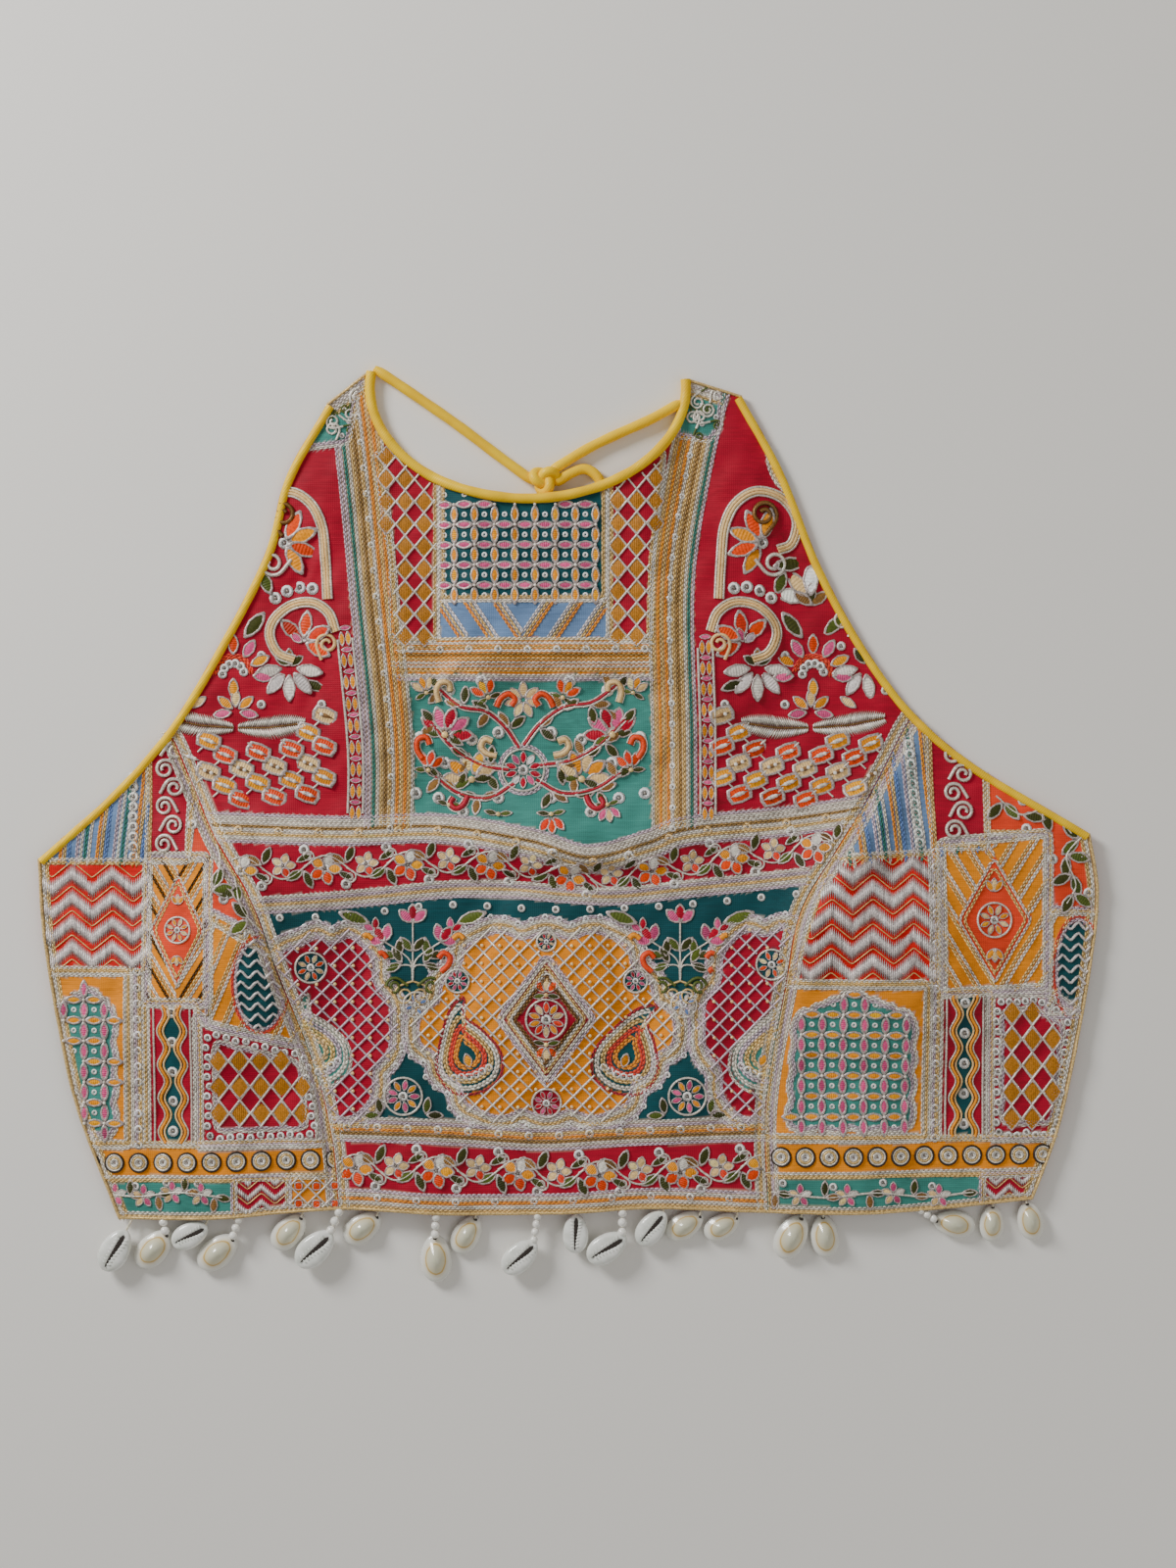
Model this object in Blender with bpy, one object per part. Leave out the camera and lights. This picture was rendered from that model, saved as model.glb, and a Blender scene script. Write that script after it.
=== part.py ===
"""Halterneck blouse with a cowrie hem, laid flat with its front up.

The garment lies on z = 0. +Y points to the neck, +X to the right as it is seen from above, and the
origin is on the underside of the back, at the middle of the garment. Lengths are in metres. The
tables are in millimetres and are turned to metres by mm().
"""

import math

import bmesh
import bpy
from mathutils import Vector

MM = 0.001

# Walls, gaps and trims
FRONT_WALL = 2.0 * MM
BACK_WALL = 1.6 * MM
SEAM_GAP = 0.3 * MM
NECK_PIPING_RADIUS = 2.0 * MM
ARM_PIPING_RADIUS = 1.5 * MM
BACK_PIPING_RADIUS = 1.4 * MM
TIE_RADIUS = 2.2 * MM
BEAD_RADIUS = 2.0 * MM
THREAD_RADIUS = 0.8 * MM

# The front lies on the back band up to the band's top edge, and on the table beyond it
OVER_BACK = 3.6 * MM
OVER_SIDE_SEAM = BACK_WALL + SEAM_GAP
SIDE_FALL = 26 * MM
BAND_OVERHANG = 8 * MM
BAND_FALL = 34 * MM

# The neckline is the lower half of an ellipse and a little more
NECK_CENTRE = (-16.0 * MM, 274.7 * MM)
NECK_HALF_WIDTH = 67.6 * MM
NECK_DEPTH = 48.1 * MM
NECK_RISE_LEFT = 0.14
NECK_RISE_RIGHT = 0.07

# Outline of the front, x and y in millimetres
ARMHOLE_LEFT = [
    (-102.1, 267.5), (-119.7, 236.0), (-128.5, 203.7), (-147.8, 165.1),
    (-170.9, 127.3), (-197.4, 97.9), (-225.1, 73.1),
]
ARMHOLE_RIGHT = [
    (75.6, 270.9), (93.7, 237.7), (109.2, 198.7), (128.1, 163.8),
    (149.5, 135.2), (176.4, 112.6), (223.9, 84.0),
]
SIDE_LEFT = [(-190.7, -80.6), (-207.9, -35.7), (-215.9, -2.1), (-223.0, 41.2), (-225.1, 73.1)]
SIDE_RIGHT = [(199.5, -72.2), (210.0, -44.1), (217.1, -13.9), (224.3, 26.5), (227.6, 58.0), (223.9, 84.0)]
HEM = [
    (-190.7, -80.6), (-147.4, -80.2), (-96.6, -76.4), (-47.0, -78.5), (-4.6, -78.1),
    (38.2, -76.0), (86.5, -77.7), (137.8, -77.7), (199.5, -72.2),
]
PRINCESS_LEFT = [
    (-96.6, -76.4), (-99.5, -46.2), (-106.7, -16.8), (-120.5, 21.0),
    (-132.7, 55.4), (-151.6, 87.4), (-168.4, 125.8),
]
PRINCESS_RIGHT = [
    (86.5, -77.7), (85.7, -31.5), (93.7, 16.8), (100.0, 50.4),
    (114.7, 76.0), (130.0, 100.0), (146.6, 131.8),
]
# Top edge of the back band, from the left side seam to the right one
BAND_TOP = [(-224.0, 71.6), (-120.0, 66.0), (0.0, 63.0), (120.0, 70.0), (222.8, 82.5)]
# The back closes under the placket, a little to the right of the middle
BACK_CLOSING_X = 12 * MM
PLACKET_WIDTH = 18 * MM
PLACKET_THICK = 1.2 * MM
PLACKET_INSET = 3 * MM
# No point of an edge lies closer to its corner than this
CORNER_CLEAR = 2 * MM
BACK_INSET = 1.2 * MM

# Soft folds of the front. x, y, turn from +X in degrees, half length, half width, height
FOLDS = [
    ("cup_left", -140, 30, 70, 78, 56, 11.0),
    ("cup_right", 134, 34, 110, 78, 54, 12.0),
    ("seam_ridge_left", -146, 66, -64, 66, 22, 4.5),
    ("seam_ridge_right", 118, 66, 66, 66, 22, 5.0),
    ("waist_roll", -6, 84, 0, 78, 24, 6.5),
    ("waist_roll_right", 62, 96, 12, 60, 24, 3.5),
    ("field_rise", -10, 14, 84, 62, 44, 6.5),
    ("field_rise_left", -74, -2, 100, 52, 26, 3.5),
    ("field_rise_right", 52, -12, 76, 56, 24, 3.0),
    ("hem_wave_left", -62, -66, 90, 42, 30, 3.0),
    ("hem_wave_centre", 6, -70, 90, 36, 26, 2.4),
    ("hem_wave_right", 122, -58, 84, 44, 34, 4.0),
    ("hem_wave_far_left", -150, -58, 96, 42, 30, 3.0),
    ("chest_left", -84, 150, 96, 88, 36, 4.5),
    ("chest_right", 60, 156, 82, 92, 38, 5.5),
    ("chest_crease_left", -40, 140, 60, 50, 14, 2.2),
    ("chest_crease_right", 14, 128, 118, 48, 13, 2.4),
    ("shoulder_left", -104, 222, 66, 46, 18, 2.0),
    ("shoulder_right", 78, 226, 112, 46, 18, 2.4),
]
# The knot and its loop lie under the front below the neckline and lift it
BOW_CENTRE = (-3 * MM, 204 * MM)
BOW_HALF = (36 * MM, 42 * MM)
BOW_LIFT = 5.2 * MM
BOW_FALL = 20 * MM

# Routes of the ties, x and y in millimetres; z is the height of the cord's middle above the table
TIE_LEFT = [
    (-79.5, 281.4, 2.3), (-62.0, 269.6, 2.3), (-45.4, 258.0, 2.3), (-30.0, 246.4, 2.3), (-17.0, 236.3, 2.6),
]
TIE_RIGHT = [
    (46.6, 266.8, 2.3), (36.3, 260.9, 2.3), (22.9, 254.9, 2.3), (9.5, 248.4, 2.3), (-4.2, 240.5, 2.6),
]
TIE_LOOP = [
    (-1.4, 234.2, 3.2), (3.6, 238.4, 2.6), (9.0, 239.6, 2.3), (14.0, 236.0, 2.3), (16.4, 228.5, 2.3),
    (14.4, 219.0, 2.3), (7.4, 214.5, 2.3), (0.6, 218.6, 2.3), (-3.0, 225.4, 2.4),
]
TIE_TAIL_LEFT = [
    (-13.6, 228.6, 2.6), (-17.5, 221.0, 2.3), (-19.5, 208.0, 2.3), (-17.0, 194.0, 2.3), (-20.0, 180.0, 2.3),
]
TIE_TAIL_RIGHT = [
    (-8.6, 225.4, 2.6), (-8.5, 216.0, 2.3), (-5.0, 204.0, 2.3), (0.5, 192.0, 2.3), (2.0, 178.0, 2.3),
]
KNOT_CENTRE = (-8.9, 234.2, 4.1)
KNOT_HALF = (6.2, 6.6, 4.0)

# Cowrie drops along the hem, in millimetres and degrees: where the thread leaves the hem, x of the shell's
# middle, how far the shell's outline clears the hem, its turn from straight down towards +X, beads on the
# thread, shell length, and whether the slit side is up
DROPS = [
    (-184.4, -192.0, 4.2, -29, 0, 19.6, True),
    (-172.0, -176.0, 4.9, -44, 1, 19.6, False),
    (-152.0, -160.2, 0.8, -62, 0, 17.0, True),
    (-138.8, -148.6, 6.8, -50, 2, 20.0, False),
    (-111.2, -118.2, 0.7, -42, 0, 18.6, False),
    (-95.6, -106.8, 8.2, -46, 2, 20.0, True),
    (-79.4, -86.7, 0.9, -53, 0, 18.6, False),
    (-55.0, -55.3, 9.2, 2, 2, 20.6, False),
    (-38.2, -42.2, 0.7, -30, 0, 18.0, False),
    (-11.4, -19.3, 10.6, -47, 3, 18.6, True),
    (4.4, 4.4, 0.6, 0, 0, 17.0, True),
    (24.4, 17.8, 8.8, -57, 2, 19.0, True),
    (42.4, 36.9, 0.7, -38, 0, 17.6, True),
    (58.2, 51.1, 0.8, -58, 0, 17.6, False),
    (73.8, 67.0, 0.9, -60, 0, 16.6, False),
    (101.0, 96.7, 0.9, -27, 0, 20.6, False),
    (110.0, 110.9, 0.7, 6, 0, 18.6, False),
    (150.0, 166.3, 1.6, 80, 2, 18.0, False),
    (182.6, 182.4, 0.9, -2, 0, 16.0, False),
    (196.4, 198.8, 1.0, 12, 0, 17.0, False),
]
SHELL_WIDTH_SHARE = 0.64
SHELL_DOME_SHARE = 0.28
SHELL_BASE_SHARE = 0.13
THREAD_INTO_SHELL = 0.12

COLOURS = {
    "crimson": (0.42, 0.012, 0.05, 1.0),
    "mustard": (0.78, 0.40, 0.03, 1.0),
    "yellow": (0.86, 0.58, 0.01, 1.0),
    "plain": (0.36, 0.012, 0.05, 1.0),
    "shell": (0.80, 0.78, 0.66, 1.0),
}


def mm(points):
    """A table's points in metres, as vectors."""
    return [Vector([c * MM for c in p]) for p in points]


def smoothstep(low, high, value):
    share = min(1.0, max(0.0, (value - low) / (high - low)))
    return share * share * (3 - 2 * share)


def catmull_rom(points, steps=12):
    """A smooth line through the points, as many short stretches."""
    ends = [points[0] * 2 - points[1], *points, points[-1] * 2 - points[-2]]
    line = []
    for a, b, c, d in zip(ends, ends[1:], ends[2:], ends[3:]):
        for i in range(steps):
            t = i / steps
            line.append(
                0.5 * (b * 2 + (c - a) * t + (a * 2 - b * 5 + c * 4 - d) * t * t
                       + (b * 3 - a - c * 3 + d) * t * t * t)
            )
    line.append(points[-1].copy())
    return line


def along(line):
    """A function from a share of the line's length to the point there."""
    reach = [0.0]
    for a, b in zip(line, line[1:]):
        reach.append(reach[-1] + (b - a).length)

    def point(share):
        want = min(1.0, max(0.0, share)) * reach[-1]
        for i in range(1, len(reach)):
            if reach[i] >= want:
                step = reach[i] - reach[i - 1]
                return line[i - 1].lerp(line[i], (want - reach[i - 1]) / step if step else 0.0)
        return line[-1].copy()

    return point


def chain(*stretches):
    """Several lines end to end. Each stretch is a line and the share of the whole at which it ends."""
    points = [along(line) for line, _ in stretches]
    ends = [end for _, end in stretches]

    def point(share):
        start = 0.0
        for stretch, end in zip(points, ends):
            if share <= end + 1e-9:
                return stretch((share - start) / (end - start))
            start = end
        return points[-1](1.0)

    return point


def cut_at(line, target):
    """The line in two, at its point nearest to the target."""
    nearest = min(range(len(line)), key=lambda i: (line[i] - target).length)
    return line[: nearest + 1], line[nearest:]


def crossing(line, value, across, read):
    """The line's coordinate read where its coordinate across has that value."""
    for a, b in zip(line, line[1:]):
        low, high = sorted((a[across], b[across]))
        if low <= value <= high and high > low:
            return a[read] + (b[read] - a[read]) * (value - a[across]) / (b[across] - a[across])
    end = min((line[0], line[-1]), key=lambda p: abs(p[across] - value))
    return end[read]


def shifted(line, distance):
    """The line moved sideways in the plane, to its left for a positive distance."""
    moved = []
    for i, p in enumerate(line):
        before, after = line[max(i - 1, 0)], line[min(i + 1, len(line) - 1)]
        way = (after - before).normalized()
        moved.append(p + Vector((-way.y, way.x)) * distance)
    return moved


armhole_left = catmull_rom(mm(ARMHOLE_LEFT))
armhole_right = catmull_rom(mm(ARMHOLE_RIGHT))
side_left = catmull_rom(mm(SIDE_LEFT))
side_right = catmull_rom(mm(SIDE_RIGHT))
hem = catmull_rom(mm(HEM))
princess_left = catmull_rom(mm(PRINCESS_LEFT))
princess_right = catmull_rom(mm(PRINCESS_RIGHT))
band_top = catmull_rom(mm(BAND_TOP))


def neckline(extra, steps=64):
    """The neck edge from the left strap to the right one, extra metres outside the piping's middle."""
    start, end = -NECK_RISE_LEFT, math.pi + NECK_RISE_RIGHT
    line = []
    for i in range(steps + 1):
        angle = start + (end - start) * i / steps
        line.append(Vector((
            NECK_CENTRE[0] - (NECK_HALF_WIDTH + extra) * math.cos(angle),
            NECK_CENTRE[1] - (NECK_DEPTH + extra) * math.sin(angle),
        )))
    return line


def fold_height(x, y):
    """How far the soft folds lift the front at a place."""
    height = 0.0
    for _, fx, fy, turn, half_length, half_width, top in FOLDS:
        dx, dy = x - fx * MM, y - fy * MM
        angle = math.radians(turn)
        forward = (dx * math.cos(angle) + dy * math.sin(angle)) / (half_length * MM)
        sideways = (dy * math.cos(angle) - dx * math.sin(angle)) / (half_width * MM)
        inside = 1 - forward * forward - sideways * sideways
        if inside > 0:
            height += top * MM * inside * inside
    return height


def bow_height(x, y):
    """How far the knot, its loop and the free ends lift the front above them."""
    away = max(abs(x - BOW_CENTRE[0]) - BOW_HALF[0], abs(y - BOW_CENTRE[1]) - BOW_HALF[1])
    return BOW_LIFT * (1 - smoothstep(0, BOW_FALL, away))


def underside(x, y):
    """Height of the front's inner face above the table."""
    from_side = min(x - crossing(side_left, y, 1, 0), crossing(side_right, y, 1, 0) - x)
    over_band = 1 - smoothstep(BAND_OVERHANG, BAND_FALL, y - crossing(band_top, x, 0, 1))
    inwards = smoothstep(0, SIDE_FALL, from_side) if over_band > 0 else 1.0
    rest = over_band * (OVER_SIDE_SEAM + (OVER_BACK - OVER_SIDE_SEAM) * inwards)
    return rest + fold_height(x, y) * inwards + bow_height(x, y)


def new_object(name, mesh_or_curve, colour):
    """An object with its own material, linked to the scene."""
    material = bpy.data.materials.new(name)
    material.use_nodes = True
    shader = material.node_tree.nodes["Principled BSDF"]
    shader.inputs["Base Color"].default_value = COLOURS[colour]
    shader.inputs["Roughness"].default_value = 0.35 if colour == "shell" else 0.85
    shader.inputs["Metallic"].default_value = 0.0
    mesh_or_curve.materials.append(material)
    obj = bpy.data.objects.new(name, mesh_or_curve)
    bpy.context.scene.collection.objects.link(obj)
    return obj


def panel(name, colour, bottom, top, left, right, columns, rows, height, wall):
    """A cloth wall between four edges. Each edge is a function from a share to a point in the plane."""
    corner = {(0, 0): bottom(0), (1, 0): bottom(1), (0, 1): top(0), (1, 1): top(1)}
    bm = bmesh.new()
    bmesh.ops.create_grid(bm, x_segments=columns, y_segments=rows, size=0.5)
    for vert in bm.verts:
        u, v = vert.co.x + 0.5, vert.co.y + 0.5
        place = (
            bottom(u) * (1 - v) + top(u) * v + left(v) * (1 - u) + right(v) * u
            - corner[0, 0] * (1 - u) * (1 - v) - corner[1, 0] * u * (1 - v)
            - corner[0, 1] * (1 - u) * v - corner[1, 1] * u * v
        )
        vert.co = (place.x, place.y, height(place.x, place.y))
    raised = bmesh.ops.extrude_face_region(bm, geom=bm.faces[:])
    for item in raised["geom"]:
        if isinstance(item, bmesh.types.BMVert):
            item.co.z += wall
    bmesh.ops.recalc_face_normals(bm, faces=bm.faces[:])
    mesh = bpy.data.meshes.new(name)
    bm.to_mesh(mesh)
    bm.free()
    return new_object(name, mesh, colour)


def tube(name, colour, points, radius, sides=2):
    """A round cord or piping through points in space."""
    curve = bpy.data.curves.new(name, "CURVE")
    curve.dimensions = "3D"
    curve.bevel_depth = radius
    curve.bevel_resolution = sides
    curve.use_fill_caps = True
    spline = curve.splines.new("POLY")
    spline.points.add(len(points) - 1)
    for target, p in zip(spline.points, points):
        target.co = (p[0], p[1], p[2], 1)
    return new_object(name, curve, colour)


def resampled(line, spacing):
    """Points along the line, about that far apart."""
    length = sum((b - a).length for a, b in zip(line, line[1:]))
    count = max(2, round(length / spacing))
    place = along(line)
    return [place(i / count) for i in range(count + 1)]


def piping(name, line, radius, spacing):
    """Bias piping along an edge of the front, at the height of the cloth there."""
    points = [(p.x, p.y, underside(p.x, p.y) + radius) for p in resampled(line, spacing)]
    return tube(name, "yellow", points, radius, sides=1)


def front_panels():
    """The centre front with its two straps, and the two side fronts."""
    half_gap = SEAM_GAP / 2
    cloth_neck = neckline(NECK_PIPING_RADIUS + SEAM_GAP)
    upper_left, lower_left = cut_at(armhole_left, Vector(PRINCESS_LEFT[-1]) * MM)
    upper_right, lower_right = cut_at(armhole_right, Vector(PRINCESS_RIGHT[-1]) * MM)
    hem_a, hem_rest = cut_at(hem, Vector(PRINCESS_LEFT[0]) * MM)
    hem_b, hem_c = cut_at(hem_rest, Vector(PRINCESS_RIGHT[0]) * MM)

    # Princess seams, each half a gap to its own side, ended on the armhole
    seam_left = princess_left[:-1] + [upper_left[-1]]
    seam_right = princess_right[:-1] + [upper_right[-1]]
    centre_left, side_of_left = shifted(seam_left, -half_gap), shifted(seam_left, half_gap)
    centre_right, side_of_right = shifted(seam_right, half_gap), shifted(seam_right, -half_gap)

    strap_share = 3 / 32
    panel(
        "front_centre", "crimson",
        bottom=chain(([centre_left[0], *hem_b[1:-1], centre_right[0]], 1.0)),
        top=chain(
            ([upper_left[0], cloth_neck[0]], strap_share),
            (cloth_neck, 1 - strap_share),
            ([cloth_neck[-1], upper_right[0]], 1.0),
        ),
        left=chain((centre_left[:-1] + [upper_left[-1]], 0.6), (upper_left[::-1], 1.0)),
        right=chain((centre_right[:-1] + [upper_right[-1]], 0.6), (upper_right[::-1], 1.0)),
        columns=32, rows=30, height=underside, wall=FRONT_WALL,
    )
    for name, hem_part, side, arm, seam, outer_first in (
        ("front_side_left", hem_a, side_left, lower_left, side_of_left, True),
        ("front_side_right", hem_c, side_right, lower_right, side_of_right, False),
    ):
        tip = arm[0].lerp(arm[1], 0.35)
        edge = [tip, *arm[1:]][::-1]
        outer = chain((side, 0.55), (edge, 1.0))
        inner = chain((seam, 1.0))
        ends = (hem_part[:-1] + [seam[0]]) if outer_first else ([seam[0]] + hem_part[1:])
        tips = [tip, seam[-1]] if outer_first else [seam[-1], tip]
        panel(
            name, "mustard",
            bottom=chain((ends, 1.0)), top=chain((tips, 1.0)),
            left=outer if outer_first else inner, right=inner if outer_first else outer,
            columns=10, rows=20, height=underside, wall=FRONT_WALL,
        )


def back_band():
    """The plain back: two halves under a placket at the centre back, piped along the top."""
    low = [p + Vector((0, BACK_INSET)) for p in hem]
    top = [p.copy() for p in band_top]
    left_side = [p + Vector((BACK_INSET, 0)) for p in side_left]
    right_side = [p - Vector((BACK_INSET, 0)) for p in side_right]
    middle_top = Vector((BACK_CLOSING_X, crossing(top, BACK_CLOSING_X, 0, 1)))
    middle_low = Vector((BACK_CLOSING_X, crossing(low, BACK_CLOSING_X, 0, 1)))
    for name, sign, side in (("back_left", -1, left_side), ("back_right", 1, right_side)):
        edge = Vector((sign * SEAM_GAP / 2, 0))
        corner_low, corner_top = side[0] + Vector((0, BACK_INSET)), side[-1] - Vector((0, BACK_INSET))
        outer = [corner_low, *side[6:-6], corner_top]
        inner_x, outer_x = sorted((BACK_CLOSING_X + sign * CORNER_CLEAR, side[0].x - sign * CORNER_CLEAR))
        half_low = [p for p in low if inner_x < p.x < outer_x]
        inner_x, outer_x = sorted((BACK_CLOSING_X + sign * CORNER_CLEAR, side[-1].x - sign * CORNER_CLEAR))
        half_top = [p for p in top if inner_x < p.x < outer_x]
        middle = [middle_low + edge, middle_top + edge]
        if sign < 0:
            bottom, above = [corner_low, *half_low, middle[0]], [corner_top, *half_top, middle[1]]
            left, right = outer, middle
        else:
            bottom, above = [middle[0], *half_low, corner_low], [middle[1], *half_top, corner_top]
            left, right = middle, outer
        panel(
            name, "plain",
            bottom=chain((bottom, 1.0)), top=chain((above, 1.0)),
            left=chain((left, 1.0)), right=chain((right, 1.0)),
            columns=8, rows=6, height=lambda x, y: 0.0, wall=BACK_WALL,
        )
    half = PLACKET_WIDTH / 2
    ends = [middle_low + Vector((0, PLACKET_INSET)), middle_top - Vector((0, PLACKET_INSET))]
    sides = {s: [e + Vector((s * half, 0)) for e in ends] for s in (-1, 1)}
    panel(
        "back_placket", "plain",
        bottom=chain(([sides[-1][0], sides[1][0]], 1.0)), top=chain(([sides[-1][1], sides[1][1]], 1.0)),
        left=chain((sides[-1], 1.0)), right=chain((sides[1], 1.0)),
        columns=2, rows=8, height=lambda x, y: BACK_WALL + SEAM_GAP, wall=PLACKET_THICK,
    )
    edge = shifted(band_top[3:-3], BACK_PIPING_RADIUS + SEAM_GAP)
    points = [(p.x, p.y, BACK_PIPING_RADIUS) for p in resampled(edge, 14 * MM)]
    tube("back_piping", "yellow", points, BACK_PIPING_RADIUS, sides=1)


def edges():
    """Yellow piping round the neck and down each armhole."""
    piping("neck_piping", neckline(0.0), NECK_PIPING_RADIUS, 6 * MM)
    away = ARM_PIPING_RADIUS + SEAM_GAP
    piping("armhole_piping_left", shifted(armhole_left, -away), ARM_PIPING_RADIUS, 8 * MM)
    piping("armhole_piping_right", shifted(armhole_right, away), ARM_PIPING_RADIUS, 8 * MM)


def ties():
    """The two ties, their bow loop and free ends, and the knot that holds them."""
    for name, route in (
        ("tie_left", TIE_LEFT), ("tie_right", TIE_RIGHT), ("tie_loop", TIE_LOOP),
        ("tie_tail_left", TIE_TAIL_LEFT), ("tie_tail_right", TIE_TAIL_RIGHT),
    ):
        points = resampled(catmull_rom(mm(route)), 2.4 * TIE_RADIUS)
        tube(name, "yellow", points, TIE_RADIUS, sides=2)
    bm = bmesh.new()
    bmesh.ops.create_uvsphere(bm, u_segments=12, v_segments=8, radius=1.0)
    bmesh.ops.scale(bm, vec=mm([KNOT_HALF])[0], verts=bm.verts)
    bmesh.ops.translate(bm, vec=mm([KNOT_CENTRE])[0], verts=bm.verts)
    mesh = bpy.data.meshes.new("tie_knot")
    bm.to_mesh(mesh)
    bm.free()
    new_object("tie_knot", mesh, "yellow")


def shell_mesh(length, slit_up):
    """A cowrie with its near tip at the origin and its length along -Y, resting on z = 0."""
    dome, base = length * SHELL_DOME_SHARE, length * SHELL_BASE_SHARE
    up, down = (base, dome) if slit_up else (dome, base)
    bm = bmesh.new()
    bmesh.ops.create_uvsphere(bm, u_segments=10, v_segments=8, radius=1.0)
    for vert in bm.verts:
        x, y, z = vert.co
        # The sphere's poles become the two tips, and the far half is the fuller one
        fullness = 1 - 0.12 * z
        vert.co = (
            x * fullness * length * SHELL_WIDTH_SHARE / 2,
            (z - 1) * length / 2,
            down + y * fullness * (up if y > 0 else down),
        )
    bmesh.ops.recalc_face_normals(bm, faces=bm.faces[:])
    return bm


def thread_mesh(start, end, beads):
    """A turned string of beads on its thread, from start to end."""
    length = (end - start).length
    pitch = 2 * BEAD_RADIUS
    first = (length - beads * pitch) / 2 if beads else length
    bm = bmesh.new()
    profile = [(0.0, 0.0), (THREAD_RADIUS, 0.0)]
    for bead in range(beads):
        for share in (0.1, 0.35, 0.65, 0.9):
            radius = max(THREAD_RADIUS, BEAD_RADIUS * math.sin(math.pi * share))
            profile.append((radius, max(0.0, first) + (bead + share) * pitch))
    profile += [(THREAD_RADIUS, length), (0.0, length)]
    verts = [bm.verts.new((radius, 0, z)) for radius, z in profile]
    rims = [bm.edges.new(pair) for pair in zip(verts, verts[1:])]
    bmesh.ops.spin(
        bm, geom=verts + rims, cent=(0, 0, 0), axis=(0, 0, 1), dvec=(0, 0, 0),
        angle=2 * math.pi, steps=6, use_merge=True, use_duplicate=False,
    )
    bmesh.ops.remove_doubles(bm, verts=bm.verts[:], dist=1e-6)
    bmesh.ops.recalc_face_normals(bm, faces=bm.faces[:])
    turn = (end - start).to_track_quat("Z", "Y").to_matrix()
    bmesh.ops.rotate(bm, cent=(0, 0, 0), matrix=turn, verts=bm.verts)
    bmesh.ops.translate(bm, vec=start, verts=bm.verts)
    return bm


def drops():
    """The cowries, each with its own thread and beads fused to it."""
    for number, (hem_x, middle_x, clear, turn, beads, length, slit_up) in enumerate(DROPS, start=1):
        name = f"drop_{number:02d}"
        size = length * MM
        angle = math.radians(turn)
        way = Vector((math.sin(angle), -math.cos(angle), 0))
        half_long, half_wide = size / 2, size * SHELL_WIDTH_SHARE / 2
        above = math.hypot(half_long * math.cos(angle), half_wide * math.sin(angle))
        rest = size * (SHELL_DOME_SHARE if slit_up else SHELL_BASE_SHARE)
        middle = Vector((middle_x * MM, crossing(hem, middle_x * MM, 0, 1) - clear * MM - above, rest))
        tip = middle - way * half_long
        bm = shell_mesh(size, slit_up)
        bmesh.ops.rotate(
            bm, cent=(0, 0, 0), verts=bm.verts,
            matrix=Vector((0, -1, 0)).rotation_difference(way).to_matrix(),
        )
        bmesh.ops.translate(bm, vec=(tip.x, tip.y, 0), verts=bm.verts)
        mesh = bpy.data.meshes.new(name)
        bm.to_mesh(mesh)
        bm.free()
        shell = new_object(name, mesh, "shell")

        hem_y = crossing(hem, hem_x * MM, 0, 1)
        height = max(underside(hem_x * MM, hem_y) + THREAD_RADIUS, BEAD_RADIUS)
        end = tip + way * size * THREAD_INTO_SHELL
        end.z = max(rest, BEAD_RADIUS)
        start = Vector((hem_x * MM, hem_y - SEAM_GAP, height))
        # The thread's flat end clears the hem by the seam gap at its nearest point
        start.y -= THREAD_RADIUS * math.sqrt(1 - (end - start).normalized().y ** 2)
        thread = thread_mesh(start, end, beads)
        thread_data = bpy.data.meshes.new(name + "_thread")
        thread.to_mesh(thread_data)
        thread.free()
        helper = bpy.data.objects.new(name + "_thread", thread_data)
        bpy.context.scene.collection.objects.link(helper)
        helper.hide_render = True
        helper.display_type = "WIRE"
        join = shell.modifiers.new("thread", "BOOLEAN")
        join.operation = "UNION"
        join.object = helper


def main():
    for obj in list(bpy.data.objects):
        bpy.data.objects.remove(obj, do_unlink=True)
    front_panels()
    back_band()
    edges()
    ties()
    drops()


main()
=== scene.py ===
# %% [markdown]
# # An embroidered halterneck blouse
# The real blouse is raw silk, cut in three front panels and a back band, and covered in couched metal
# thread, silk floss and sequins. It lies flat with its front up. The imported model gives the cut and
# the folds. This script lays finer cloth over them and then works the embroidery on it, stitch by
# stitch, as real geometry, because raised thread is what catches the light on such a garment.

import math

import bmesh
import bpy
import numpy as np
from mathutils import Matrix, Vector


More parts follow.
